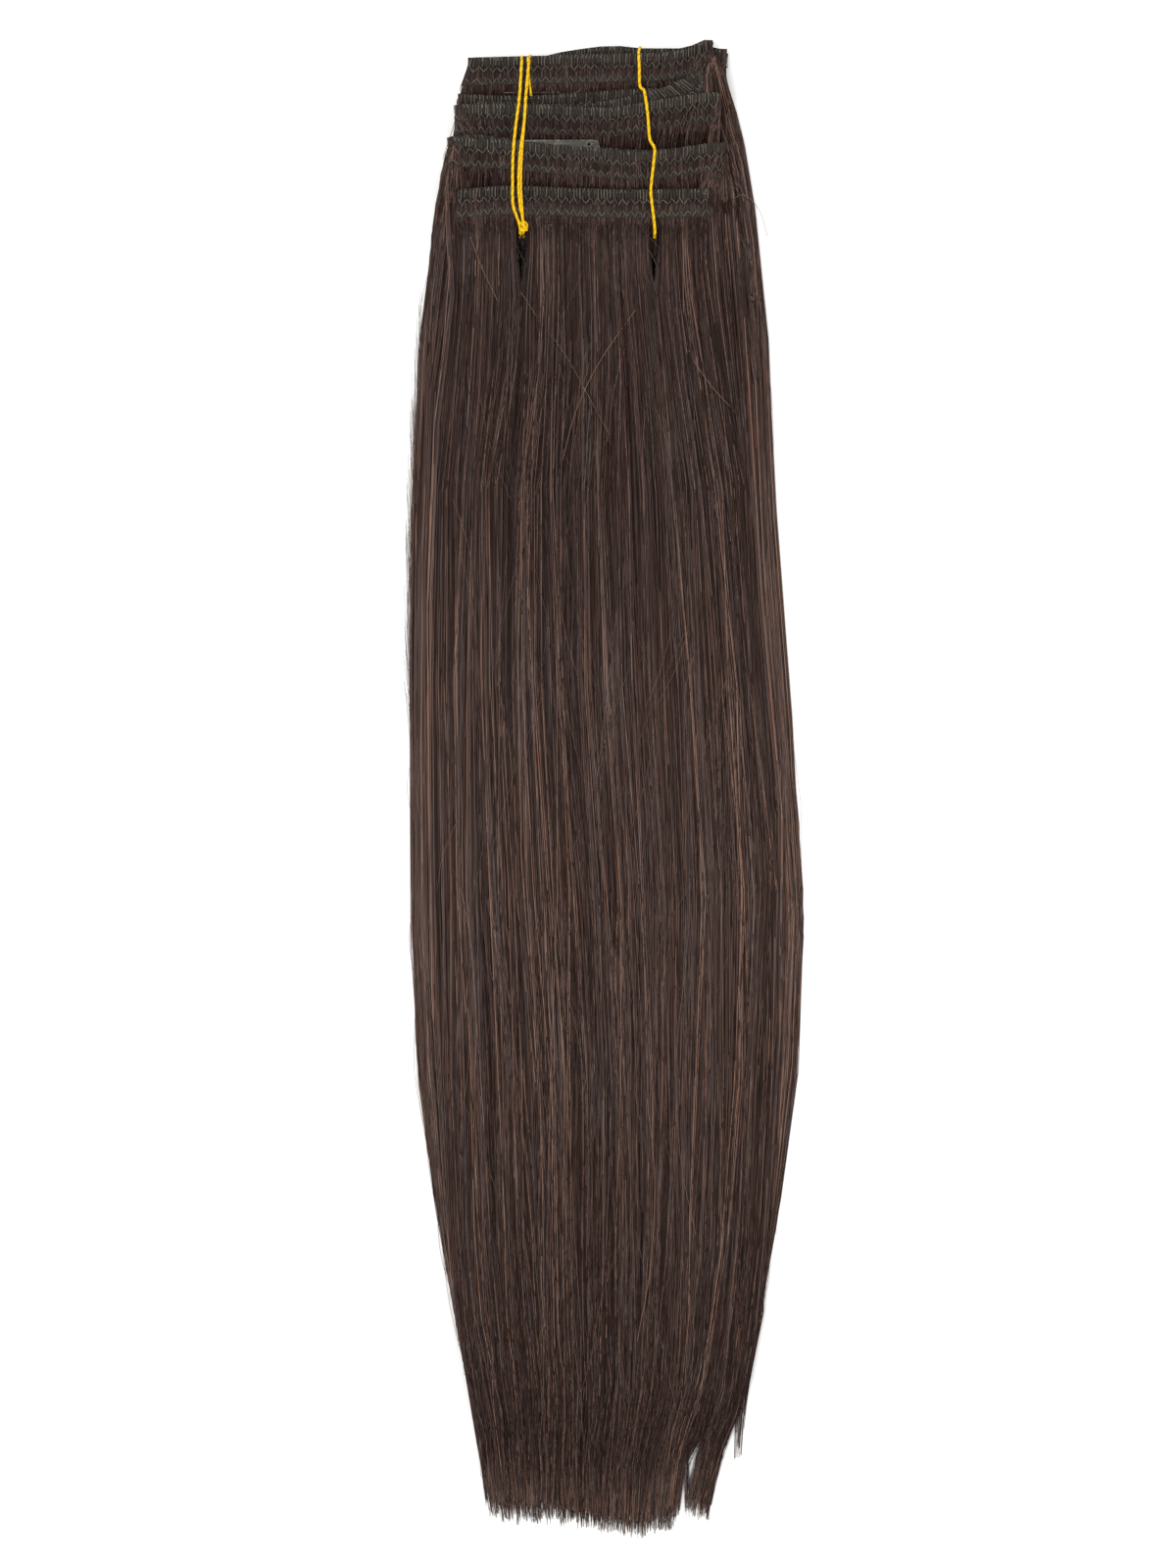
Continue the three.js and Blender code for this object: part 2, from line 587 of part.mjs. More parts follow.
function tieSolid(tie, laid) {
  const loops = tie.runs.map((run) => {
    const curve = new THREE.CatmullRomCurve3(threadPath(run, laid), true, "centripetal");
    return toSolid(new THREE.TubeGeometry(curve, 54, threadRadius, 5, true));
  });
  let solid = loops.reduce((sum, loop) => sum.add(loop));
  if (tie.knot) {
    const knot = new THREE.SphereGeometry(knotRadius, 8, 6);
    knot.scale(1.3, 1.6, 0.8);
    const height = highestNear(tie.slitX * foldedWidth, slitDrop, slitWidth, fieldStep);
    knot.translate(tie.slitX * foldedWidth, -slitDrop + 2 * knotRadius, height + threadRadius + knotRadius);
    solid = solid.add(toSolid(knot));
  }
  if (tie.looseEnd) {
    const points = tie.looseEnd.map(({ x, drop }) => {
      const place = [x * foldedWidth, drop * slitDrop];
      const height = highestNear(...place, threadDiameter, fieldStep) + clearance + threadRadius;
      return new THREE.Vector3(place[0], -place[1], height);
    });
    const round = new THREE.Shape().absarc(0, 0, threadRadius, 0, 2 * Math.PI, false);
    const extrudePath = new THREE.CatmullRomCurve3(points);
    solid = solid.add(toSolid(new THREE.ExtrudeGeometry(round, { steps: 6, curveSegments: 3, extrudePath })));
  }
  return solid;
}

function addMesh(group, name, geometry, material) {
  const mesh = new THREE.Mesh(geometry, material);
  mesh.name = name;
  group.add(mesh);
  return mesh;
}

const bundle = new THREE.Group();
const slits = ties.map(slitSolid);
const laid = [];
for (const [index, row] of wefts.entries()) {
  const weft = measure(row, index);
  const plane = restPlane(weft);
  const label = "weft_" + (index + 1);
  addMesh(bundle, label + "_track", trackGeometry(weft, plane), materials.track);
  const rows = layHair(weft, plane);
  const hair = slits.reduce((solid, slit) => solid.subtract(slit), toSolid(hairGeometry(rows)));
  addMesh(bundle, label + "_hair", toGeometry(hair), materials.hair);
  for (const [number, { middle, peek, turn }] of weft.clips.entries()) {
    const x = middle * foldedWidth;
    const drop = weft.frontEdge(x) + clipHeight * (0.5 - peek);
    const name = label + "_clip" + (weft.clips.length > 1 ? "_" + (number + 1) : "");
    const clip = addMesh(bundle, name, clipGeometry(), materials.clip);
    clip.position.set(x, -drop, plane(drop) + weft.clipLift);
    clip.rotation.set(Math.atan(plane(0) - plane(1)), 0, degToRad(turn));
  }
  raiseField((x, drop) => (covers(weft, x, drop, fieldStep, clearance) ? plane(drop) + weft.topLift : -Infinity));
  raiseField((x, drop) => hairHeightAt(rows, x, drop));
  laid.push(weft);
}
for (const tie of ties) addMesh(bundle, tie.name, toGeometry(tieSolid(tie, laid)), materials.thread);

const box = new THREE.Box3().setFromObject(bundle);
bundle.position.set(-(box.min.x + box.max.x) / 2, -(box.min.y + box.max.y) / 2, -box.min.z);

const group = new THREE.Group();
group.name = "hair_extension_bundle";
group.add(bundle);
export default group;
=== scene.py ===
# %% [markdown]
# # A tied bundle of clip in hair wefts
# Six wefts lie on each other like shingles. Each is a sewn band, the track, with straight dark brown
# hair hanging from it and snap clips sewn behind it. Two lengths of gold elastic hold the bundle.
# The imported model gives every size. This lesson dresses it: hair as thin tubes, threads and cord.

# %% Load the frame
import math

import bmesh
import bpy
import numpy as np
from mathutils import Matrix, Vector
from mathutils.bvhtree import BVHTree


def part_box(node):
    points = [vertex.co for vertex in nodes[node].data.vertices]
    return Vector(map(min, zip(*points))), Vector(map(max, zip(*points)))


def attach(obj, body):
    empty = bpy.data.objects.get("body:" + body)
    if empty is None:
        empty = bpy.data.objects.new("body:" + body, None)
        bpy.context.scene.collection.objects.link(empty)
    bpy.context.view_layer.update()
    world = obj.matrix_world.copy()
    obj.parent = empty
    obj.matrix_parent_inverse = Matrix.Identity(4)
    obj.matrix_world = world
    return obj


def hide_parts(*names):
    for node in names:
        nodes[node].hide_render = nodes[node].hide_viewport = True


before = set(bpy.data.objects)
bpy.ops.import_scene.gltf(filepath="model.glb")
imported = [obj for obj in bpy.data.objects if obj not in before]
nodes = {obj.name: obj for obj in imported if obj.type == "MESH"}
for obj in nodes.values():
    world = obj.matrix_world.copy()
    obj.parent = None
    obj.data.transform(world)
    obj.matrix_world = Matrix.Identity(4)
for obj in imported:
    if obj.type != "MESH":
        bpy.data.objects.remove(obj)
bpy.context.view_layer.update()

MM = 0.001
weft_count = 6

# %% [markdown]
# ## The camera
# The bundle lies flat and is photographed from straight above, so the camera looks down with the
# sewn edges at the top of the picture. It stands far off, because a long lens keeps the sides straight.

# %% Camera
photo_rows = 1600
photo_scale = 0.373 * MM  # one row of the photograph
sensor_height = 36  # mm, a full frame camera turned upright
camera_height = 1.5
middle_height = 0.012  # of the bundle, where the scale was read
camera_data = bpy.data.cameras.new("camera")
camera_data.sensor_fit = "VERTICAL"
camera_data.sensor_height = sensor_height
camera_data.lens = sensor_height * (camera_height - middle_height) / (photo_rows * photo_scale)
picture_middle = (-0.0070, -0.0011)  # the bundle lies a little off it


def placed(name, data):
    """A new object in the scene."""
    made = bpy.data.objects.new(name, data)
    bpy.context.scene.collection.objects.link(made)
    return made


camera = placed("camera", camera_data)
camera.location = (*picture_middle, camera_height)
bpy.context.scene.camera = camera
print("lens in mm", round(camera_data.lens, 1))

# %% [markdown]
# ## Places in the photograph
# Outlines, ties and stray hairs are named by where they lie in the photograph. The middle of the head
# is known in the photograph and on the table, so one function carries any other place over.

# %% From the photograph to the table
photo_head = (617.5, 41)  # the middle of the head, in pixels from the top left corner
table_head = (-0.45 * MM, 282.05 * MM)


def from_photo(px, py):
    """A place of the photograph on the table."""
    x = table_head[0] + (px - photo_head[0]) * photo_scale
    y = table_head[1] - (py - photo_head[1]) * photo_scale
    return x, y


print("top left corner of the picture in mm", [round(v / MM) for v in from_photo(0, 0)])

# %% [markdown]
# ## Helpers for materials
# Colours are written as sRGB hex, as in a paint program, and a shader wants them linear. One function
# adds any node, sets its values and joins its inputs. Two more use it for what most materials here
# share: a grain that follows the piece, and colour and relief that follow a value.

# %% Colour and node helpers
def linear(code):
    channels = [int(code[i : i + 2], 16) / 255 for i in (1, 3, 5)]
    return [c / 12.92 if c <= 0.04045 else ((c + 0.055) / 1.055) ** 2.4 for c in channels] + [1]


def add(tree, kind, settings=None, links=None):
    """A node of that kind. Names or numbers in settings set its sockets or properties; stops set a ramp."""
    made = tree.nodes.new(kind)
    for name, value in (settings or {}).items():
        if name == "stops":
            ramp = made.color_ramp.elements
            for at, code in value[2:]:
                ramp.new(at)
            for element, (at, code) in zip(ramp, sorted(value)):
                element.position = at
                element.color = linear(code)
        elif isinstance(name, int) or name in made.inputs:
            made.inputs[name].default_value = value
        else:
            setattr(made, name, value)
    for name, source in (links or {}).items():
        tree.links.new(source, made.inputs[name])
    return made


def start_material(name, settings):
    """A new material with a Principled shader of those values."""
    material = bpy.data.materials.new(name)
    material.use_nodes = True
    tree = material.node_tree
    tree.nodes.clear()
    shader = add(tree, "ShaderNodeBsdfPrincipled", settings)
    add(tree, "ShaderNodeOutputMaterial", links={"Surface": shader.outputs[0]})
    return material, tree, shader


def grain(tree, stretch, detail, per_metre=1000.0):
    """Noise fixed to the piece, per_metre features in a metre. A stretch below 1 draws them out."""
    place = add(tree, "ShaderNodeTexCoord").outputs["Object"]
    if stretch:
        place = add(tree, "ShaderNodeMapping", {"Scale": stretch}, {"Vector": place}).outputs[0]
    settings = {"Scale": per_metre, "Detail": detail}
    return add(tree, "ShaderNodeTexNoise", settings, {"Vector": place}).outputs["Fac"]


fibre_relief = 0.3 * MM


def paint(tree, shader, value, stops, bump=0):
    """Colours a shader by a value through a ramp, and where bump isn't 0 raises its surface by it."""
    colour = add(tree, "ShaderNodeValToRGB", {"stops": stops}, {0: value})
    tree.links.new(colour.outputs[0], shader.inputs["Base Color"])
    if bump:
        raised = add(tree, "ShaderNodeBump", {"Strength": bump, "Distance": fibre_relief}, {"Height": value})
        tree.links.new(raised.outputs[0], shader.inputs["Normal"])


def built(name, bm, material):
    """An object made from a bmesh, which is freed."""
    mesh = bpy.data.meshes.new(name)
    bm.to_mesh(mesh)
    bm.free()
    mesh.shade_smooth()
    mesh.materials.append(material)
    return placed(name, mesh)


print("black, middle grey and white:", [round(linear(c)[0], 3) for c in ("#000000", "#808080", "#ffffff")])

# %% [markdown]
# ## The table and the light
# A product photograph on white has a matt paper sweep under a large soft box and light from all round,
# so the paper burns out to white and leaves hardly a shadow. The soft box is above the middle of the
# hair: straight hair shines where the light stands square to it, so its ends come out darker.

# %% Paper, world and soft boxes
bpy.context.scene.view_settings.view_transform = "Standard"  # the paper's white is the picture's white
matt_white = {"Base Color": linear("#f6f6f4"), "Roughness": 0.9}
paper, tree, shader = start_material("seamless_paper_matt", matt_white)
bm = bmesh.new()
bmesh.ops.create_grid(bm, x_segments=1, y_segments=1, size=6)
floor = built("floor", bm, paper)

world = bpy.data.worlds.new("studio")
world.use_nodes = True
background = world.node_tree.nodes["Background"].inputs
background["Color"].default_value = (1, 1, 1, 1)
background["Strength"].default_value = 0.85
bpy.context.scene.world = world

soft_boxes = {
    "soft_box_over": {"at": (-0.25, 0.05, 1.25), "size": (0.9, 0.35), "power": 9},
    "soft_box_head": {"at": (0.35, 0.75, 1.0), "size": (0.6, 0.4), "power": 3},
}
for name, box in soft_boxes.items():
    light = bpy.data.lights.new(name, "AREA")
    light.shape = "RECTANGLE"
    light.size, light.size_y = box["size"]
    light.energy = box["power"]
    lamp = placed(name, light)
    lamp.location = box["at"]
    lamp.rotation_euler = (-Vector(box["at"])).to_track_quat("-Z", "Y").to_euler()
print(len(soft_boxes), "soft boxes over the paper")

# %% [markdown]
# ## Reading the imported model
# Strands have to lie on what is under them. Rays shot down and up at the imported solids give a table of
# heights for each weft: its own top and underside, and the lowest thing that lies on it.

# %% Height tables
grid_x = np.arange(-79, 80) * MM
grid_y = np.concatenate([np.arange(-291, 150, 3), np.arange(150, 291, 0.75)]) * MM


def solid_of(names):
    points, faces = [], []
    for name in names:
        mesh = nodes[name].data
        first = len(points)
        points += [v.co.copy() for v in mesh.vertices]
        faces += [[first + i for i in p.vertices] for p in mesh.polygons]
    return BVHTree.FromPolygons(points, faces)


def heights(names, way):
    """Heights over the grid: way -1 looks down from above, 1 looks up from below. Empty places are NaN."""
    solid = solid_of(names)
    start, ray = (0.08 if way < 0 else -0.01), Vector((0, 0, way))
    found = np.full((len(grid_y), len(grid_x)), np.nan)
    for j, y in enumerate(grid_y):
        for i, x in enumerate(grid_x):
            hit = solid.ray_cast(Vector((x, y, start)), ray)[0]
            if hit:
                found[j, i] = hit.z
    return found


def filled(table):
    """Empty places take the nearest height in their row, and empty rows their neighbour's."""
    full = table.copy()
    rows = [j for j in range(len(grid_y)) if np.isfinite(table[j]).any()]
    for j in rows:
        there = np.isfinite(table[j])
        full[j] = np.interp(grid_x, grid_x[there], table[j, there])
    for j in range(len(grid_y)):
        if j not in rows:
            full[j] = full[min(rows, key=lambda row: abs(row - j))]
    return full


def look(table, x, y):
    """The table's height at points, from the four places round each."""
    i = np.interp(x, grid_x, np.arange(len(grid_x)))
    j = np.interp(y, grid_y, np.arange(len(grid_y)))
    i0 = np.minimum(i.astype(int), len(grid_x) - 2)
    j0 = np.minimum(j.astype(int), len(grid_y) - 2)
    s, t = i - i0, j - j0
    low = table[j0, i0] * (1 - s) + table[j0, i0 + 1] * s
    high = table[j0 + 1, i0] * (1 - s) + table[j0 + 1, i0 + 1] * s
    return low * (1 - t) + high * t


hair_slope = 0.55  # the steepest that hair comes down from a track


def smooth(rows):
    """Draws each row halfway to the mean of its neighbours, in place."""
    rows[1:-1] = 0.25 * rows[:-2] + 0.5 * rows[1:-1] + 0.25 * rows[2:]


def draped(table):
    """Hair that leaves a track doesn't drop at once: the heights come down at hair_slope, and smoothly."""
    made = table.copy()
    for j in range(len(grid_y) - 2, -1, -1):
        made[j] = np.maximum(made[j], made[j + 1] - hair_slope * (grid_y[j + 1] - grid_y[j]))
    for _ in range(6):
        smooth(made)
    return made


tops, undersides, lids = {}, {}, {}
for k in range(1, weft_count + 1):
    own = [f"weft_{k}_hair", f"weft_{k}_track"]
    above = [n for n in nodes if n.startswith("weft_") and int(n[5]) > k]
    tops[k] = draped(filled(heights(own, -1)))
    undersides[k] = filled(heights(own[:1], 1))
    lids[k] = heights(above, 1) if above else np.full((len(grid_y), len(grid_x)), np.nan)
    lids[k] = np.where(np.isfinite(lids[k]), lids[k], 1.0)
everything = filled(heights([n for n in nodes if n.startswith("weft_")], -1))
print("highest place in mm", round(everything.max() / MM, 2))

# %% [markdown]
# ## Walking the sewn edges
# Threads and strands start at a track's sewn edge, which wanders and turns back on itself where the
# track is folded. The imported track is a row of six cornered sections. The two highest corners of each
# lie close together, so the short edges between them, taken in order, are the sewn edge.

# %% Sewn edges
track_height = 10.5 * MM
track_wall = 1.4 * MM


def merged(name):
    """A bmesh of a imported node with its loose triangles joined."""
    bm = bmesh.new()
    bm.from_mesh(nodes[name].data)
    bmesh.ops.remove_doubles(bm, verts=bm.verts, dist=1e-6)
    return bm


def corner_below(corner, fall):
    steps = [edge.other_vert(corner) for edge in corner.link_edges]
    steps = [v for v in steps if v.co.y < corner.co.y - fall]
    return min(steps, key=lambda v: (v.co - corner.co).length)


def sewn_edge(name):
    """Places along a track's sewn edge, the way across the band there, outwards, and the way down it."""
    bm = merged(name)
    short = 0.4 * track_wall
    rims = [
        e for e in bm.edges
        if abs(e.calc_length() - short) < 0.03 * MM and abs(e.verts[0].co.y - e.verts[1].co.y) < 0.01 * MM
    ]
    owner = {v: e for e in rims for v in e.verts}
    beside = {}
    for e in rims:
        faces = {f for v in e.verts for f in v.link_faces}
        beside[e] = {owner[v] for f in faces for v in f.verts if v in owner} - {e}
    ends = [e for e in rims if len(beside[e]) == 1]
    here = max(ends, key=lambda e: e.verts[0].co.z)
    walk = [here]
    while True:
        onward = [e for e in beside[here] if e not in walk]
        if not onward:
            break
        here = onward[0]
        walk.append(here)
    middles, outs, downs = [], [], []
    for e in walk:
        a, b = e.verts
        out = (b.co - a.co).normalized()
        lean = outs[-1] if outs else Vector((0, 0, 1))
        outs.append(out if out.dot(lean) > 0 else -out)
        middles.append((a.co + b.co) / 2)
        shoulder = corner_below(a, 0.3 * MM)
        foot = corner_below(shoulder, 4 * MM)
        downs.append((foot.co - shoulder.co) / abs(foot.co.y - shoulder.co.y))
    bm.free()
    return np.array(middles), np.array(outs), np.array(downs)


def distances(line):
    """How far along a line each of its points is."""
    return np.concatenate([[0], np.cumsum(np.linalg.norm(np.diff(line, axis=0), axis=1))])


edges = {k: sewn_edge(f"weft_{k}_track") for k in range(1, weft_count + 1)}
edge_line, slant_line, band_ends = {}, {}, {}
for k, (middles, outs, downs) in edges.items():
    front = outs[:, 2] > 0.9
    order = np.argsort(middles[front, 0])
    edge_line[k] = middles[front][order][:, :2]
    slant_line[k] = np.column_stack([middles[front][order][:, 0], downs[front][order][:, 0]])
    band_ends[k] = middles[:, 0].min() - 0.5 * track_wall, middles[:, 0].max() + 0.5 * track_wall
    print(f"weft {k}: {len(middles)} sections, sewn edge {distances(middles)[-1] / MM:.0f} mm")

# %% [markdown]
# ## The sides of the hair
# The hair's two sides at each height of the picture come from slicing its mesh: where an edge crosses
# the slice gives a point, and the outermost ones are the sides. Slices through the ragged tips or the
# slanting roots would miss part of the width, so the sides run straight on from the last whole slice.
# Loose strands lie a little off the solids: at the head they spread from the bands' ends, and at the
# tips all six wefts draw in to one outline, so that no step shows where a lower weft ends.

# %% Sides of each weft's hair
# The outline in pixels of the photograph: row, left and right.
tip_outline = [
    (1180, 436, 804), (1260, 450, 790), (1300, 457, 783), (1340, 464, 776), (1380, 472, 769),
    (1420, 480, 761), (1440, 484, 756), (1460, 488, 747), (1480, 490, 738), (1500, 492, 732),
    (1520, 494, 729), (1545, 498, 724),
]
# Where strands leave the bands' ends: weft and column, then row and place.
head_outline = {
    (1, 2): [
        (75, 741), (90, 744), (100, 747), (110, 750), (130, 755), (150, 759), (170, 763), (190, 766),
        (220, 769),
    ],
    (2, 1): [(78, 476), (90, 471), (100, 468), (110, 466), (130, 467), (150, 463), (170, 456)],
    (5, 2): [(150, 742), (180, 745), (210, 749), (240, 752), (280, 756), (330, 760)],
    (5, 1): [(145, 459), (165, 457), (185, 456), (210, 457), (240, 459), (280, 462), (330, 464)],
}
draw_in = -110 * MM  # below this the wefts draw in to one outline
tip_of = {k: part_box(f"weft_{k}_hair")[0].y for k in range(1, weft_count + 1)}


def ease(x):
    x = np.clip(x, 0, 1)
    return x * x * (3 - 2 * x)


def cad_sides(k):
    mesh = nodes[f"weft_{k}_hair"].data
    places = np.array([v.co for v in mesh.vertices])
    ends = np.array([e.vertices[:] for e in mesh.edges])
    a, b = places[ends[:, 0]], places[ends[:, 1]]
    first, last = tip_of[k] + 24 * MM, edge_line[k][:, 1].min() - 4 * MM
    rows = []
    for y in grid_y[(grid_y > first) & (grid_y < last)]:
        cut = (a[:, 1] - y) * (b[:, 1] - y) < 0
        share = (y - a[cut, 1]) / (b[cut, 1] - a[cut, 1])
        x = a[cut, 0] + share * (b[cut, 0] - a[cut, 0])
        rows.append((y, x.min(), x.max()))
    rows = np.array(rows)
    made = []
    for column in (1, 2):
        slope = (rows[12, column] - rows[0, column]) / (rows[12, 0] - rows[0, 0])
        beyond = np.minimum(grid_y - rows[0, 0], 0)
        made.append(np.interp(grid_y, rows[:, 0], rows[:, column]) + 0.6 * slope * beyond)
    return made


def loose_side(k, column, side):
    """The side that the strands keep to, from the solid's own side."""
    table = np.array(tip_outline, float)
    x, y = from_photo(table[:, column], table[:, 0])
    drawn = ease((draw_in - grid_y) / (130 * MM))
    side = side * (1 - drawn) + np.interp(-grid_y, -y, x) * drawn
    if (k, column) in head_outline:
        table = np.array(head_outline[k, column], float)
        x, y = from_photo(table[:, 1], table[:, 0])
        wide = (np.maximum if column == 2 else np.minimum)(side, np.interp(-grid_y, -y, x))
        side = np.where((grid_y < y[0]) & (grid_y > y[-1]), wide, side)
    return side


packed_sides, left_side, right_side = {}, {}, {}
for k in range(1, weft_count + 1):
    packed_sides[k] = cad_sides(k)
    left_side[k] = loose_side(k, 1, packed_sides[k][0])
    right_side[k] = loose_side(k, 2, packed_sides[k][1])


def sides_at(k, y):
    """The left and right side of a weft's strands at heights of the picture."""
    return np.interp(y, grid_y, left_side[k]), np.interp(y, grid_y, right_side[k])


print("widest hair in mm", round((right_side[1] - left_side[1]).max() / MM, 1))

# %% [markdown]
# ## Tubes from lines
# Hair, thread and cord are all thin round lines. Each line goes into a mesh as points joined by edges,
# with its radius and shade kept on the points. Geometry Nodes then turns the edges to curves and
# sweeps a small circle along them. Three sides are enough for a strand that shows a pixel wide.

# %% Tube maker
tube_trees = {}


def tube_tree(sides):
    if sides not in tube_trees:
        tree = bpy.data.node_groups.new(f"tube_of_{sides}_sides", "GeometryNodeTree")
        for way in ("INPUT", "OUTPUT"):
            tree.interface.new_socket("Geometry", in_out=way, socket_type="NodeSocketGeometry")
        start = add(tree, "NodeGroupInput")
        curve = add(tree, "GeometryNodeMeshToCurve", links={"Mesh": start.outputs[0]})
        radius = add(tree, "GeometryNodeInputNamedAttribute", {"data_type": "FLOAT", "Name": "radius"})
        circle = add(tree, "GeometryNodeCurvePrimitiveCircle", {"Resolution": sides, "Radius": 1.0})
        swept = {"Curve": curve.outputs[0], "Profile Curve": circle.outputs[0], "Scale": radius.outputs[0]}
        tube = add(tree, "GeometryNodeCurveToMesh", {"Fill Caps": True}, swept)
        smooth = add(tree, "GeometryNodeSetShadeSmooth", links={0: tube.outputs[0]})
        add(tree, "NodeGroupOutput", links={0: smooth.outputs[0]})
        tube_trees[sides] = tree
    return tube_trees[sides]


def triangles(mesh):
    return sum(len(p.vertices) - 2 for p in mesh.polygons)


def tubes(name, blocks, sides, material):
    """One object of tubes. A block is points [lines, stations, 3], radius, shade and if it closes."""
    points, radii, shades, joined, first = [], [], [], [], 0
    for places, radius, shade, closed in blocks:
        lines, stations = places.shape[:2]
        points.append(places.reshape(-1, 3))
        radii.append(np.broadcast_to(radius, (lines, stations)).reshape(-1))
        shades.append(np.broadcast_to(shade, (lines, stations)).reshape(-1))
        numbers = first + np.arange(lines * stations).reshape(lines, stations)
        joined.append(np.stack([numbers[:, :-1], numbers[:, 1:]], -1).reshape(-1, 2))
        if closed:
            joined.append(np.stack([numbers[:, -1], numbers[:, 0]], -1))
        first += lines * stations
    mesh = bpy.data.meshes.new(name)
    mesh.from_pydata(np.concatenate(points).tolist(), np.concatenate(joined).tolist(), [])
    for label, values in (("radius", radii), ("shade", shades)):
        mesh.attributes.new(label, "FLOAT", "POINT").data.foreach_set("value", np.concatenate(values))
    made = placed(name, mesh)
    made.modifiers.new("tube", "NODES").node_group = tube_tree(sides)
    graph = bpy.context.evaluated_depsgraph_get()
    final = made.evaluated_get(graph)
    swept = bpy.data.meshes.new_from_object(final, preserve_all_data_layers=True, depsgraph=graph)
    made.modifiers.clear()
    made.data = swept
    swept.name = name
    swept.materials.clear()
    swept.materials.append(material)
    print(f"{name}: {sum(len(block[0]) for block in blocks)} lines, {triangles(swept)} triangles")
    return made


def keep(made, slot, *replaced):
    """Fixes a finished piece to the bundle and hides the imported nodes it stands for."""
    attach(made, "root")
    if replaced:
        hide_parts(*replaced)


print("tube maker ready")

# %% [markdown]
# ## Hair as a material
# Remy human hair, dyed dark brown and brushed. A strand is a glossy rod of keratin, IOR about 1.55, whose
# scales scatter the shine, so roughness is near 0.5. Dye takes differently from hair to hair, so each
# strand carries its own shade, which also holds the painted light and shade laid along the hair. The ramp
# runs from near black through brown to a few warm light ones.

# %% Hair materials
hair_stops = [(0.0, "#0d0706"), (0.3, "#20110b"), (0.55, "#3a2923"), (0.8, "#604c46"), (1.0, "#8d6c5a")]
hair, tree, shader = start_material(
    "remy_hair_dyed_brown",
    {"Roughness": 0.48, "IOR": 1.55, "Specular IOR Level": 0.12},
)
shade = add(tree, "ShaderNodeAttribute", {"attribute_name": "shade"}).outputs["Fac"]
# Along a strand the dye varies over about 60 mm, and across it from hair to hair, about 0.6 mm. A tube
# stands for a few hairs side by side, so finer streaks, 0.2 mm wide, run along it.
for stretch, detail, share in (((1.6, 0.016, 1.6), 2.0, 0.3), ((5.0, 0.03, 5.0), 1.0, 0.5)):
    streaks = grain(tree, stretch, detail)
    centred = add(tree, "ShaderNodeMath", {"operation": "SUBTRACT", 1: 0.5}, {0: streaks})
    mixing = {"operation": "MULTIPLY_ADD", 1: share}
    shade = add(tree, "ShaderNodeMath", mixing, {0: centred.outputs[0], 2: shade}).outputs[0]
colour = add(tree, "ShaderNodeValToRGB", {"stops": hair_stops}, {0: shade})
# Some hairs take the dye cool and some keep a red warmth, over about 1 mm across and 80 mm along.
richness = add(
    tree, "ShaderNodeMapRange", {"From Min": 0.3, "From Max": 0.7, "To Min": 0.75, "To Max": 1.15},
    {"Value": grain(tree, (1.0, 0.012, 1.0), 1.0)},
)
toned = add(
    tree, "ShaderNodeHueSaturation", links={"Color": colour.outputs[0], "Saturation": richness.outputs[0]}
)
tree.links.new(toned.outputs[0], shader.inputs["Base Color"])

under_hair, tree, shader = start_material(
    "remy_hair_under_layer",
    {"Roughness": 0.6, "IOR": 1.55, "Specular IOR Level": 0.2},
)
under_stops = [(0.3, "#150f0d"), (0.55, "#2a1e1a"), (0.75, "#433129")]
paint(tree, shader, grain(tree, (2.0, 0.03, 2.0), 4.0), under_stops, bump=0.6)
print("hair colours from", hair_stops[0][1], "to", hair_stops[-1][1])

# %% [markdown]
# ## The body of the hair
# Each weft has thousands of hairs. Under the ones that show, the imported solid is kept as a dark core,
# so no light comes through. The cores draw in with the strands. On the two topmost wefts the tips are
# cut back, further at the right, where strands alone end. The lowest core is lifted off the table, so
# that strands can lie under it too.

# %% Hair cores
bare_tips = {5: 3 * MM, 6: 11 * MM}
bare_corner = (27 * MM, -247 * MM)  # right of this and below it the two cores are cut out
under_lift = 0.5 * MM


def sunk(y):
    """Hair sinks towards the table over its last centimetres."""
    return 1 - 0.3 * ease((-242 * MM - y) / (40 * MM))


def pulled_in(k, x, y):
    """Moves a place of a core so that the core keeps inside the strands."""
    packed = [np.interp(y, grid_y, side) for side in packed_sides[k]]
    left, right = sides_at(k, y)
    loose = left + 0.5 * MM, right - 0.5 * MM
    share = min(max((x - packed[0]) / (packed[1] - packed[0]), 0), 1)
    drawn = ease((draw_in - y) / (40 * MM))
    return x + (loose[0] + share * (loose[1] - loose[0]) - x) * drawn


for k in range(1, weft_count + 1):
    name = f"weft_{k}_hair"
    bm = merged(name)
    for v in bm.verts:
        v.co.x = pulled_in(k, v.co.x, v.co.y)
        v.co.z *= sunk(v.co.y)
    if k in bare_tips:
        cuts = [
            ((0, tip_of[k] + bare_tips[k], 0), (0, -1, 0), True),
            ((bare_corner[0], 0, 0), (1, 0, 0), False),
            ((0, bare_corner[1], 0), (0, -1, 0), False),
        ]
        for place, way, clear in cuts:
            parts = bm.verts[:] + bm.edges[:] + bm.faces[:]
            bmesh.ops.bisect_plane(bm, geom=parts, plane_co=place, plane_no=way, clear_outer=clear)
        corner = [
            f for f in bm.faces
            if f.calc_center_median().x > bare_corner[0] and f.calc_center_median().y < bare_corner[1]
        ]
        bmesh.ops.delete(bm, geom=corner, context="FACES")
        bmesh.ops.holes_fill(bm, edges=[e for e in bm.edges if e.is_boundary])
        bmesh.ops.triangulate(bm, faces=[f for f in bm.faces if len(f.verts) > 4])
    if k == 1:
        for v in bm.verts:
            if v.co.z < look(undersides[1], v.co.x, v.co.y) + under_lift / 2:
                v.co.z += under_lift
    core = built(f"hair_core_{k}", bm, under_hair)
    keep(core, "hair", name)
    print(core.name, len(core.data.polygons), "faces")

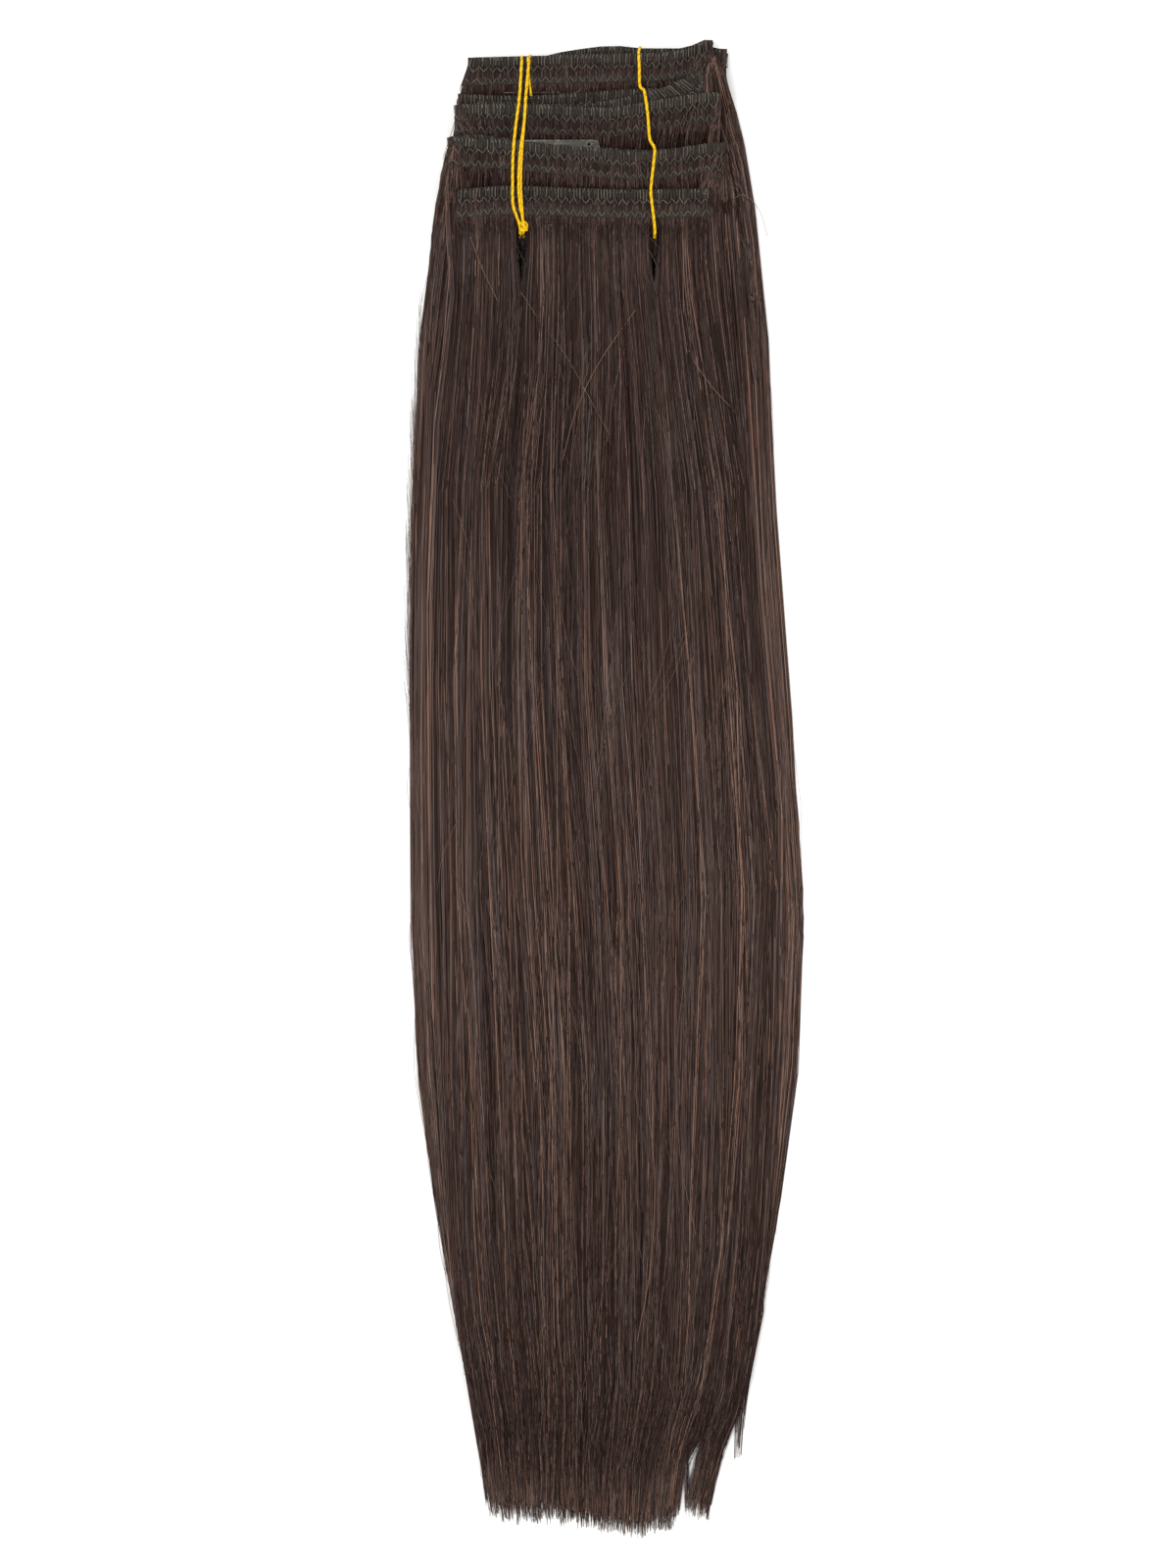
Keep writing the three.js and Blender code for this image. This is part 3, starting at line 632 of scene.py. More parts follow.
# %% [markdown]
# ## Laying strands
# A strand starts at the sewn edge, runs straight down the band, and then keeps its share of the width
# as the hair spreads and draws in again. Strands gather into locks towards the tips, wander a little,
# and part round the two ties. Its height is the hair's own height plus a small lift of its own.

# %% Strand layer
hair_length = 511 * MM
# A gap's middle, start, end and half width, and how far it takes to open and to close.
slits = [  # where the ties part the hair
    {"x": -32.3 * MM, "top": 209 * MM, "end": 184 * MM, "half": 2.0 * MM, "open": 6 * MM, "close": 17 * MM},
    {"x": 18.1 * MM, "top": 210 * MM, "end": 182 * MM, "half": 2.3 * MM, "open": 6 * MM, "close": 17 * MM},
]
tip_gaps = [  # slivers of table between locks near the tips
    {"x": 33.3 * MM, "top": -250 * MM, "end": -268 * MM, "half": 1.8 * MM, "open": 5 * MM, "close": 5 * MM},
    {"x": 29.2 * MM, "top": -268 * MM, "end": -300 * MM, "half": 1.0 * MM, "open": 5 * MM, "close": 5 * MM},
]
slit_reach = 7 * MM


def parted(x, y):
    """Moves strands aside at the ties and at the gaps between locks."""
    for slit in slits + tip_gaps:
        opened = ease((slit["top"] + slit["open"] - y) / slit["open"])
        half = slit["half"] * (opened * ease((y - slit["end"]) / slit["close"]))
        off = x - slit["x"]
        near = np.abs(off) < slit_reach
        moved = slit["x"] + np.sign(off) * (half + np.abs(off) * (1 - half / slit_reach))
        x = np.where(near, moved, x)
    return x


# Painted shadow: strands beside the ties' slits are drawn darker, most at the slit's middle.
def painted_slit_shadow(x, y):
    dark = np.zeros_like(x)
    for slit in slits:
        along = ease((slit["top"] + 8 * MM - y) / (6 * MM)) * ease((y - slit["end"] + 8 * MM) / (20 * MM))
        dark += along * np.exp(-(((x - slit["x"]) / (2.6 * MM)) ** 2))
    return dark


print("a slit opens", 2 * slits[0]["half"] / MM, "mm")

# %% [markdown]
# ## Tone, thickness and length
# The hair is drawn lighter in the middle of its length, a painted sheen, and darker near the head and
# towards the tips, painted shade. On the band, among the stitches, painted shade darkens it too. A strand
# thins over its last tenth. The tips end in locks of their own length, the longest right of the middle.

# %% Shades, radii and tips
# Painted light: a painted sheen lightens the middle of the length, painted shade darkens head and tips.
painted_light_down = [  # mm down from the sewn edge, and what the shade gains
    (0, -0.02), (15, -0.03), (25, -0.06), (50, -0.13), (100, -0.12), (150, -0.05), (220, 0.02),
    (330, 0.02), (420, -0.05), (508, -0.12),
]


def painted_light_along(downs):
    """Painted light along the hair: a sheen in its middle, painted shade near the head and the tips."""
    return np.interp(downs / MM, *zip(*painted_light_down))


def strand_shades(rng, count, lock_tone):
    shade = 0.5 + lock_tone + 0.17 * rng.standard_normal(count)
    light = rng.random(count) < 0.03
    return np.where(light, 0.82 + 0.1 * rng.random(count), np.clip(shade, 0.12, 0.85))


def strand_radii(rng, count, downs, thick):
    radius = rng.uniform(0.7, 1.15, count)[:, None] * thick
    share = downs / downs[:, -1:]
    return radius * np.interp(share, [0, 0.9, 1], [1, 0.85, 0.45])


tips_down = [  # share of the width from the left, and how far below its sides the hair ends, in mm
    (0, -2.6), (0.1, -0.6), (0.33, 0.3), (0.45, 1.4), (0.535, 3.2), (0.64, 5.4), (0.687, 5.8),
    (0.74, 3.0), (0.84, 1.2), (0.94, 0), (1, -2),
]
tip_locks = 56
ragged = np.random.default_rng(4).uniform(0, 3.5, tip_locks)


def bow(u):
    """How much further down than their sides the tips end, for shares of the width, lock by lock."""
    lock = (np.clip(u, 0, 0.999) * tip_locks).astype(int)
    return np.interp(u, *zip(*tips_down)) * MM - ragged[lock] * MM


# Painted shade darkens the hair on the band, among the stitches, down to here.
band_shade_end = 11 * MM  # threads press the hair on the band down to here


def painted_band_shade(downs):
    """Painted shade: hair on the band, among the stitches, is drawn darker."""
    return ease((band_shade_end - downs) / (2 * MM))


print("the longest tips reach", max(fall for _, fall in tips_down), "mm below the sides")

# %% [markdown]
# ## The topmost weft
# Its hair shows all the way down, so it gets the full length strands, in two layers whose locks cross:
# locks about 5 mm wide with their own tone and length, a few short hairs, and ragged tips. Below the
# track it was brushed down and to the left, the upper layer more, in arcs that straighten further on.

# %% Full length strands
full_stations = [-0.3, 5, 11, 13.5, 17, 22, 30, 42, 70, 115, 190, 270, 345, 405, 440, 458, 476, 488, 507]
full_stations = np.array(full_stations) * MM
top_strands = 1400  # in each of the two layers
lock_count = 30


def from_band(k, y, downs, sides, end):
    """A side of the hair that starts at the band's own end, 0 left or 1 right."""
    side = np.interp(y, grid_y, sides[k])
    return band_ends[k][end] + (side - band_ends[k][end]) * ease((downs - 3 * MM) / (14 * MM))


def full_strands(rng, k, count, sweep):
    u = (np.arange(count) + rng.random(count)) / count
    number = np.clip((u * lock_count + rng.normal(0, 0.25, count)).astype(int), 0, lock_count - 1)
    lock_middle = (np.arange(lock_count) + 0.5 + rng.uniform(-0.3, 0.3, lock_count)) / lock_count
    lock_tone = rng.normal(0, 0.06, lock_count)
    lock_short = rng.uniform(0, 2.5, lock_count) * MM
    lock_grip = rng.uniform(0.1, 0.45, lock_count)
    phase, wave = rng.uniform(0, 6.3, lock_count), rng.uniform(180, 380, lock_count) * MM
    short = np.where(rng.random(count) < 0.2, rng.exponential(20, count), rng.exponential(3.5, count)) * MM
    length = hair_length + bow(u) - lock_short[number] - np.minimum(short, 90 * MM)
    share = np.clip(full_stations / hair_length, 0, 1)
    downs = full_stations[None, :] - share[None, :] * (hair_length - length)[:, None]
    row = np.repeat(u[:, None], len(full_stations), 1)
    grip = lock_grip[number][:, None] * ease((downs / MM - 60) / 440) * 0.8
    row = row + (lock_middle[number][:, None] - row) * grip
    head_left, head_right = sides_at(k, grid_y[-1])
    root_x = head_left + u * (head_right - head_left)
    start = np.interp(root_x, *edge_line[k].T)
    y = start[:, None] - downs
    left, right = from_band(k, y, downs, left_side, 0), from_band(k, y, downs, right_side, 1)
    x = left + row * (right - left)
    far = ease((downs / MM - 30) / 480)
    sway = np.sin(6.28 * downs / wave[number][:, None] + phase[number][:, None]) * 1.4 * MM
    x += sway * ease((downs / MM - 20) / 120)
    reach = sweep * np.sin(math.pi * np.clip((u - 0.08) / 0.62, 0, 1)) * (0.6 + 1.5 * lock_grip[number])
    x -= reach[:, None] * ease((downs / MM - 45) / 80) * (1 - ease((downs / MM - 190) / 200))
    drift = rng.normal(0, 3.6, count)[:, None] * MM * far
    x += drift * np.sin(3.1 * downs / hair_length + rng.uniform(0, 3, count)[:, None])
    jitter = rng.normal(0, 1, (count, len(full_stations))) * MM
    x += jitter * np.interp(downs / MM, [15, 60, 200, 500], [0.05, 0.3, 0.5, 0.55])
    slack_left, slack_right = [rng.uniform(0, 0.8, count)[:, None] * MM for _ in range(2)]
    x = parted(np.clip(x, left - slack_left, right + slack_right), y)
    low, high = rng.uniform(-0.2, 0.08, count), rng.uniform(-0.25, 0.85, count)
    lift = low[:, None] + (high - low)[:, None] * ease((downs / MM - 10) / 18)
    z = look(tops[k], x, y) + lift * MM
    z = np.maximum(z * sunk(y), 0.25 * MM)
    shade = strand_shades(rng, count, lock_tone[number])[:, None] + painted_light_along(downs)
    # Painted shade: strands that lie lower are drawn darker, and so are those beside the slits and on the
    # band.
    shade = shade + 0.24 * (lift - 0.3) - 0.35 * painted_slit_shadow(x, y) - 0.03
    shade -= 0.1 * painted_band_shade(downs)
    shade[:, -1] += 0.3  # the dye has washed out of the very ends
    radius = strand_radii(rng, count, downs, 0.2 * MM)
    return np.stack([x, y, z], -1), radius, shade, False


for layer, seed, sweep in (("under", 61, 3 * MM), ("over", 62, 11 * MM)):
    block = full_strands(np.random.default_rng(seed), 6, top_strands, sweep)
    made = tubes(f"strands_6_{layer}", [block], 3, hair)
    keep(made, "hair", "weft_6_hair")

# %% [markdown]
# ## The tips
# The last centimetres show most against the white paper, so more strands fill them, all through the
# hair's thickness.

# %% Tip strands
def tip_strands(rng, count):
    """Strands of the last few centimetres, all through the hair's thickness, for dense tips."""
    u = (np.arange(count) + rng.random(count)) / count
    short = np.where(rng.random(count) < 0.25, rng.exponential(10, count), rng.exponential(3.5, count)) * MM
    low = np.interp(0, *edge_line[6].T) - hair_length - bow(u) + short
    y = low[:, None] + rng.uniform(50, 110, count)[:, None] * MM * np.array([[1, 0.75, 0.5, 0.3, 0.14, 0]])
    left, right = sides_at(6, y)
    x = left + u[:, None] * (right - left) + rng.normal(0, 0.5, y.shape) * MM
    x = np.clip(x, left - 0.4 * MM, right + 0.4 * MM)
    clear = np.all([np.abs(x[:, -2:] - gap["x"]).min(1) > 1.6 * MM for gap in tip_gaps], axis=0)
    x, y, low, count = x[clear], y[clear], low[clear], clear.sum()
    z = np.maximum(look(tops[6], x, y) * sunk(y) * rng.uniform(0.1, 0.97, count)[:, None], 0.3 * MM)
    z = np.where(y > low[:, None] + 40 * MM, np.minimum(z, look(tops[6], x, y) - 0.3 * MM), z)
    shade = strand_shades(rng, count, 0)[:, None] + painted_light_along(hair_length - (y - low[:, None])) - 0.04
    shade = shade + np.array([[0, 0, 0, 0, 0.08, 0.35]])
    radius = rng.uniform(0.14, 0.24, count)[:, None] * np.array([[1, 1, 1, 0.95, 0.8, 0.45]]) * MM
    return np.stack([x, y, z], -1), radius, shade, False


tips = tubes("strands_at_tips", [tip_strands(np.random.default_rng(66), 1000)], 3, hair)
keep(tips, "hair", "weft_6_hair")

# %% [markdown]
# ## The wefts beneath
# Of these only two places show: the band at the head, down to where the next weft covers it, and the
# two sides, where each weft reaches a little further out than the one on it. Short strands dress the
# head and long ones the sides, some of them on the very edge, so the stack reads as hair from the side.

# %% Head and side strands
head_stations = np.array([-0.3, 3, 7, 10.8, 13.5, 18, 26, 38]) * MM
side_stations = np.array([-0.3, 5, 10, 16, 24, 36, 60, 110, 180, 260, 340, 400, 450, 508]) * MM


def head_strands(rng, k, count):
    u = (np.arange(count) + rng.random(count)) / count
    line = edge_line[k]
    x0 = line[0, 0] + u * (line[-1, 0] - line[0, 0])
    downs = np.repeat(head_stations[None, :], count, 0) * rng.uniform(0.92, 1.08, count)[:, None]
    y = np.interp(x0, *line.T)[:, None] - downs
    left, right = from_band(k, y, downs, left_side, 0), from_band(k, y, downs, right_side, 1)
    grown = (right - left) / (right - left)[:, :1]
    middle = (line[0, 0] + line[-1, 0]) / 2
    slant = np.interp(x0, *slant_line[k].T)[:, None] * np.minimum(downs, track_height)
    x = middle + (x0[:, None] + slant - middle) * grown
    x = np.clip(x, np.minimum(left, x0[:, None] + slant), np.maximum(right, x0[:, None]))
    x += rng.normal(0, 0.5, count)[:, None] * MM * downs / (15 * MM)
    x += rng.normal(0, 0.12, downs.shape) * MM
    low, high = rng.uniform(-0.2, 0.08, count), rng.uniform(-0.2, 0.5, count)
    lift = (low[:, None] + (high - low)[:, None] * ease((downs / MM - 10) / 8)) * MM
    z = np.minimum(look(tops[k], x, y) + lift, look(lids[k], x, y) - 0.3 * MM)
    # Painted shade: head strands are drawn darker along their length and on the band.
    shade = strand_shades(rng, count, 0)[:, None] + painted_light_along(downs) - 0.04 - 0.14 * painted_band_shade(downs)
    return np.stack([x, y, z], -1), strand_radii(rng, count, downs, 0.22 * MM), shade, False


def side_strands(rng, k, count, side):
    """side is 1 for the right and -1 for the left."""
    reach = right_side if side > 0 else left_side
    length = hair_length - rng.exponential(16, count) * MM
    downs = side_stations[None, :] * (length / hair_length)[:, None]
    end = 1 if side > 0 else 0
    on_rim = rng.random(count) < 0.4
    m = np.where(on_rim, 0, rng.random(count))
    root_x = band_ends[k][end] - side * m * 4 * MM
    y = np.interp(root_x, *edge_line[k].T)[:, None] - downs
    rim = from_band(k, y, downs, reach, end)
    inner = np.interp(y, grid_y, reach[k + 1])
    width = np.maximum(side * (rim - inner), 0) * ease((downs - 3 * MM) / (14 * MM)) + 4 * MM
    x = rim - side * m[:, None] * width
    sway = np.sin(downs / (70 * MM) + rng.uniform(0, 6.3, count)[:, None])
    x += side * np.where(on_rim, rng.uniform(-0.7, 0.9, count), 0)[:, None] * MM * ease(downs / (30 * MM))
    x += sway * rng.uniform(0, 0.7, count)[:, None] * MM * ease(downs / (60 * MM))
    inside = rim - side * np.maximum(side * (rim - x), 1.3 * MM)
    top, under = look(tops[k], inside, y), look(undersides[k], inside, y)
    low, high = rng.uniform(-0.2, 0.05, count), rng.uniform(-0.2, 0.6, count)
    on_top = top + (low[:, None] + (high - low)[:, None] * ease((downs / MM - 10) / 10)) * MM
    in_wall = under + (top - under) * rng.uniform(0, 1.05, count)[:, None]
    z = np.where(on_rim[:, None], np.where(downs < 16 * MM, on_top, in_wall), on_top)
    lid = np.minimum(look(lids[k], x, y), look(lids[k], inside, y))
    z = np.clip(z, 0.25 * MM, lid - 0.2 * MM)
    # Painted light: side strands are drawn lighter, those on the rim most, lifting them out of the wall's
    # shade. Painted shade darkens them on the band, down to 14 mm.
    shade = strand_shades(rng, count, 0)[:, None] + painted_light_along(downs) + 0.11 + 0.09 * on_rim[:, None]
    shade -= 0.18 * ease((14 * MM - downs) / (3 * MM))
    return np.stack([x, y, z], -1), strand_radii(rng, count, downs, 0.25 * MM), shade, False


print("head stations", len(head_stations), "and side stations", len(side_stations))

# %% [markdown]
# ## Locks that have slipped
# The bundle was handled. At two ends of folded tracks a lock turns over the band's end and falls down
# the side, and one lock has strayed to the right of the tips. Each follows its own path in the
# photograph, and its strands spread about that path by the lock's half width.

# %% Slipped locks
outlying_path = [(776, 1330), (768, 1375), (761, 1415), (757, 1450), (755, 1488)]
# Places in pixels of the photograph, each with half the lock's width there.
right_fall = [
    (727, 61, 4), (728, 75, 10), (731, 95, 13.5), (738, 115, 11), (747, 140, 8), (755, 170, 7),
    (761, 205, 7), (767, 250, 6), (772, 300, 4),
]
left_fall = [
    (464, 151, 3.5), (461, 165, 5), (457, 183, 7), (453, 205, 8), (449, 232, 8), (445, 262, 7),
    (441, 300, 6), (438, 345, 4),
]
right_roots, left_roots = (13.6, 13, 12), (17.5, 16.5, 14)  # their first heights in mm


def outlying_lock(rng, count):
    """A lock of the fifth weft that has strayed to the right of the tips and ends before the rest."""
    path_x, path_y = from_photo(*np.array(outlying_path).T)
    ends = path_y[-1] + rng.uniform(-3, 32, count) * MM
    share = np.linspace(0, 1, 12)[None, :]
    y = path_y[0] + 60 * MM + (ends[:, None] - path_y[0] - 60 * MM) * share
    rim = np.interp(y, grid_y, right_side[5]) - 1 * MM
    middle = np.where(y > path_y[0], rim, np.interp(-y, -path_y, path_x))
    x = middle + rng.normal(0, 1, count)[:, None] * (2.0 - 1.1 * share) * MM
    z = np.maximum(look(tops[5], np.minimum(x, rim), y) * (1 - 0.75 * share), 0.3 * MM)
    shade = strand_shades(rng, count, 0)[:, None]
    return np.stack([x, y, z], -1), 0.19 * MM * (1 - 0.5 * share), shade, False


def surface(x, y):
    """The height of the hair that lies uppermost at points, by the sides that the strands keep to."""
    z = look(tops[1], x, y)
    for k in range(2, weft_count + 1):
        left, right = sides_at(k, y)
        inside = (x > left) & (x < right) & (y < np.interp(x, *edge_line[k].T))
        z = np.where(inside, np.maximum(z, look(tops[k], x, y)), z)
    return z


def fallen_lock(rng, count, side, path, roots):
    """Hair that turns over a band's end and falls down its side: 1 the right one, -1 the left."""
    px, py, half = np.array(path, float).T[:, None, :]
    across = rng.uniform(-1, 1, count)[:, None]
    x, y = from_photo(px + across * half, py + 0 * across)
    x = x + rng.normal(0, 0.3, x.shape) * MM
    y = y - rng.uniform(-1.5, 2, count)[:, None] * MM
    rim = np.interp(y, grid_y, right_side[1] if side > 0 else left_side[1])
    z = surface(rim - side * np.maximum(side * (rim - x), 1 * MM), y)
    z[:, : len(roots)] = np.maximum(z[:, : len(roots)], np.array([roots]) * MM)
    smooth(z.T)
    z += rng.uniform(-0.8, 0.8, count)[:, None] * MM
    shade = strand_shades(rng, count, 0)[:, None] + rng.uniform(-0.05, 0.22, (count, 1)) + 0 * x
    return np.stack([x, y, z], -1), rng.uniform(0.14, 0.22, count)[:, None] * MM, shade, False


widest = 2 * max(half for _, _, half in right_fall) * photo_scale
print("the right lock is", round(widest / MM, 1), "mm wide where it falls")

# %% [markdown]
# ## Tufts, and the hair beneath
# Short hair ends work loose between the rows of stitches and stand up there. Against the table lies
# the underside of the lowest weft, which shows only when the bundle is seen from low down.

# %% Tufts and lowest strands
tuft_rows = [5.6, 10.2]  # mm down from the sewn edge, below each zigzag
tuft_count = 330


def tufts(rng, k, count):
    """Short hair ends that stand out between the rows of stitches."""
    line = edge_line[k]
    x0 = line[0, 0] + rng.random(count) * (line[-1, 0] - line[0, 0])
    top = rng.choice(tuft_rows, count) + rng.uniform(-0.5, 0.8, count)
    downs = (top[:, None] + rng.uniform(1.5, 3.6, count)[:, None] * np.array([[0, 0.5, 1]])) * MM
    x = x0[:, None] + rng.normal(0, 0.3, (count, 1)) * MM * np.array([[0, 0.6, 1.4]])
    x += np.interp(x0, *slant_line[k].T)[:, None] * np.minimum(downs, track_height)
    y = np.interp(x0, *line.T)[:, None] - downs
    z = look(tops[k], x, y) + rng.uniform(0.15, 0.45, count)[:, None] * MM * np.array([[0.3, 1, 0.9]])
    z = np.minimum(z, look(lids[k], x, y) - 0.3 * MM)
    return np.stack([x, y, z], -1), 0.13 * MM, rng.uniform(0.35, 0.85, (count, 1)), False


def lower_strands(rng, count):
    """Strands against the table, under the lowest weft."""
    u = (np.arange(count) + rng.random(count)) / count
    downs = side_stations[None, :] * (1 - rng.exponential(0.012, count))[:, None]
    root_x = band_ends[1][0] + u * (band_ends[1][1] - band_ends[1][0])
    y = np.interp(root_x, *edge_line[1].T)[:, None] - 2 * MM - downs
    left, right = sides_at(1, y)
    x = left + (0.01 + 0.98 * u[:, None]) * (right - left)
    x += np.sin(downs / (60 * MM) + rng.uniform(0, 6.3, count)[:, None]) * 0.6 * MM
    z = look(undersides[1], x, y) + rng.uniform(0.24, 0.5, count)[:, None] * MM
    shade = strand_shades(rng, count, 0)[:, None] + painted_light_along(downs)
    return np.stack([x, y, z], -1), strand_radii(rng, count, downs, 0.22 * MM), shade, False


made = tubes("tufts_6", [tufts(np.random.default_rng(63), 6, tuft_count)], 3, hair)
keep(made, "hair", "weft_6_hair")

# %% [markdown]
# ## All the lower wefts
# One loop gives each lower weft its strands, and adds what only one weft has.

# %% Strands of the lower wefts
head_count, right_count, left_count, lowest_count = 850, 250, 180, 420
right_fall_count, left_fall_count, outlying_count = 330, 280, 90
for k in range(1, weft_count):
    rng = np.random.default_rng(100 + k)
    blocks = [head_strands(rng, k, head_count), tufts(rng, k, tuft_count)]
    blocks += [side_strands(rng, k, right_count, 1), side_strands(rng, k, left_count, -1)]
    if k == 1:
        blocks.append(lower_strands(rng, lowest_count))
    if k == 2:
        blocks.append(fallen_lock(rng, right_fall_count, 1, right_fall, right_roots))
    if k == 5:
        blocks.append(outlying_lock(rng, outlying_count))
        blocks.append(fallen_lock(rng, left_fall_count, -1, left_fall, left_roots))
    keep(tubes(f"strands_{k}", blocks, 3, hair), "hair", f"weft_{k}_hair")

# %% [markdown]
# ## Stray hairs
# A few hairs never lie with the rest. The long light ones across the front are placed one by one, as
# smooth curves through places of the photograph.

# %% Placed fly-aways
def smooth_line(places, count):
    """Points along a smooth curve through places (Catmull-Rom)."""
    places = np.array(places, float)
    padded = np.vstack([2 * places[0] - places[1], places, 2 * places[-1] - places[-2]])
    t = np.linspace(0, len(places) - 1 - 1e-9, count)
    i = t.astype(int)
    f = (t - i)[:, None]
    p0, p1, p2, p3 = (padded[i + n] for n in range(4))
    bent = (2 * p0 - 5 * p1 + 4 * p2 - p3) * f**2
    turned = (3 * p1 - p0 - 3 * p2 + p3) * f**3
    return 0.5 * (2 * p1 + (p2 - p0) * f + bent + turned)


stray_lines = [
    [(697, 262), (697, 300), (700, 350), (722, 390), (750, 420)],
    [(532, 300), (552, 330), (578, 365), (600, 405), (622, 445)],
    [(480, 243), (492, 275), (508, 308)],
    [(742, 205), (760, 196), (776, 212), (784, 238)],
    [(716, 200), (736, 205), (746, 232), (742, 262)],
    [(574, 470), (588, 420), (612, 370), (648, 318)],
    [(470, 905), (480, 960), (486, 1040), (484, 1110)],
    [(660, 1120), (668, 1200), (664, 1290), (650, 1370)],
    [(560, 900), (572, 980), (592, 1070), (600, 1150)],
    [(700, 980), (690, 1080), (694, 1180), (710, 1260)],
]
print(len(stray_lines), "long stray hairs are placed")

# %% [markdown]
# ## Fuzz, veil and wisps
# The finer ones are drawn at random: a fuzz along both sides, most of it at the left, a thin veil,
# wisps near the tips, and hairs that lie across the front.

# %% Random fly-aways
fuzz_count, veil_count, wisp_count, crossing_count = 140, 120, 90, 220
rng = np.random.default_rng(9)
stray = []


def lay(places, radius, shades):
    """Adds one stray hair, whose shade is drawn between the two."""
    stray.append((np.column_stack(places)[None], radius * MM, rng.uniform(*shades), False))


for line in stray_lines:
    curve = smooth_line([from_photo(*p) for p in line], 14)
    lay([curve, look(everything, curve[:, 0], curve[:, 1]) + 1.25 * MM], 0.11, (0.8, 1.0))
for _ in range(fuzz_count):
    y0, reach = rng.uniform(-240, 225) * MM, rng.uniform(20, 70) * MM
    side = -1 if rng.random() < 0.75 else 1
    rims = left_side if side < 0 else right_side
    y = y0 + np.linspace(0, 1, 10) * reach
    rim = np.interp(y, grid_y, rims[rng.integers(1, 7)])
    stand = rng.uniform(0.3, 2.6) * MM * np.sin(np.linspace(0.1, 3.0, 10))
    z = look(everything, rim - side * 2 * MM, y) * rng.uniform(0.2, 0.9) + rng.uniform(0, 0.6) * MM
    lay([rim + side * stand, y, np.maximum(z, 0.2 * MM)], 0.075, (0.7, 1.0))
for _ in range(veil_count):  # a thin veil stands off the left side where it bulges
    y0, reach = rng.uniform(10, 170) * MM, rng.uniform(15, 70) * MM
    y = y0 + np.linspace(-0.5, 0.5, 10) * reach
    stand = min(rng.exponential(1.5), 3.2) * MM * np.linspace(0, 1, 10) ** rng.uniform(0.3, 2)
    x = np.interp(y, grid_y, left_side[1]) - stand
    lay([x, y, 0 * y + rng.uniform(0.3, 6) * MM], 0.07, (0.6, 0.95))
for _ in range(wisp_count):  # wisps that leave the sides near the tips
    side = -1 if rng.random() < 0.65 else 1
    y = rng.uniform(-235, -150) * MM - np.linspace(0, 1, 8) * rng.uniform(15, 45) * MM
    y = np.maximum(y, -272 * MM)
    rim = np.interp(y, grid_y, left_side[1] if side < 0 else right_side[1])
    x = rim + side * (rng.uniform(0.2, 2.0) * np.linspace(0, 1, 8) ** 2 - 0.3) * MM
    lay([x, y, 0 * y + rng.uniform(0.3, 5) * MM], 0.08, (0.6, 1.0))
for _ in range(crossing_count):
    px, py, run = rng.uniform(440, 780), rng.uniform(250, 1400), rng.uniform(60, 200)
    lean = rng.normal(0, 0.2)
    halfway = (px + lean * run * 0.5 + rng.normal(0, 3), py + run * 0.5)
    line = [(px, py), halfway, (px + lean * run, py + run)]
    x, y = smooth_line([from_photo(*p) for p in line], 9).T
    left, right = sides_at(6, y)
    if (x > left).all() and (x < right).all():
        lay([x, y, look(tops[6], x, y) + 0.95 * MM], 0.085, (0.5, 0.9))
keep(tubes("stray_hairs", stray, 3, hair), "hair")

# %% [markdown]
# ## The tracks
# A machine made weft is folded over its hair ends and sewn, which gives a flat dark band. The band is
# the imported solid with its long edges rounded. Its fibres run down with the hair.

# %% Bands
band, tree, shader = start_material(
    "weft_band_machine_sewn",
    {"Roughness": 0.75, "Specular IOR Level": 0.2},
)
band_stops = [(0.3, "#16110f"), (0.5, "#2b221d"), (0.72, "#46392f")]
paint(tree, shader, grain(tree, (2.2, 0.16, 1.0), 3.0), band_stops, bump=0.7)


sharp_edge = 0.5  # radians between two faces


def rounded(name, new_name, radius, material):
    """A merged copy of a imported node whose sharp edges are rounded."""
    bm = merged(name)
    corners = [e for e in bm.edges if e.is_manifold and e.calc_face_angle(0) > sharp_edge]
    bmesh.ops.bevel(
        bm, geom=corners, offset=radius, offset_type="OFFSET", affect="EDGES",
        segments=2, profile=0.5, material=-1, clamp_overlap=True,
    )
    return built(new_name, bm, material)


for k in range(1, weft_count + 1):
    made = rounded(f"weft_{k}_track", f"band_{k}", 0.22 * MM, band)
    keep(made, "weft_track", f"weft_{k}_track")
    print(made.name, len(made.data.polygons), "faces")

# %% [markdown]
# ## The stitches
# Spun polyester thread, dyed near the hair's colour but greener and duller. It runs over the edge in
# close loops, down the face in short upright stitches, and along the band in two zigzag rows.

# %% Thread
def spun(name, settings, per_metre, share, stops):
    """A material for thread or cord, coloured by the shade of each line and by its fine twist."""
    material, tree, shader = start_material(name, settings)
    shade = add(tree, "ShaderNodeAttribute", {"attribute_name": "shade"}).outputs["Fac"]
    mixing = {"operation": "MULTIPLY_ADD", 1: share}
    mixed = add(tree, "ShaderNodeMath", mixing, {0: grain(tree, None, 1.0, per_metre), 2: shade})
    paint(tree, shader, mixed.outputs[0], stops)
    return material


thread_stops = [(0.25, "#161411"), (0.6, "#413f39"), (0.9, "#6e6c61")]
thread_look = {"Roughness": 0.8, "Specular IOR Level": 0.25}
thread_twist = 2500.0  # per metre, the twist of a spun thread
thread = spun("thread_spun_polyester", thread_look, thread_twist, 0.6, thread_stops)
loop_pitch, upright_pitch, zigzag_pitch = 1.4 * MM, 1.15 * MM, 3.1 * MM
zigzag_rows = [(4.6 * MM, 1.1 * MM), (9.1 * MM, 1.25 * MM)]  # how far down, and half the height
thread_radius = 0.2 * MM
face = track_wall / 2 + 0.6 * MM  # the threads lie on the strands that cover the band


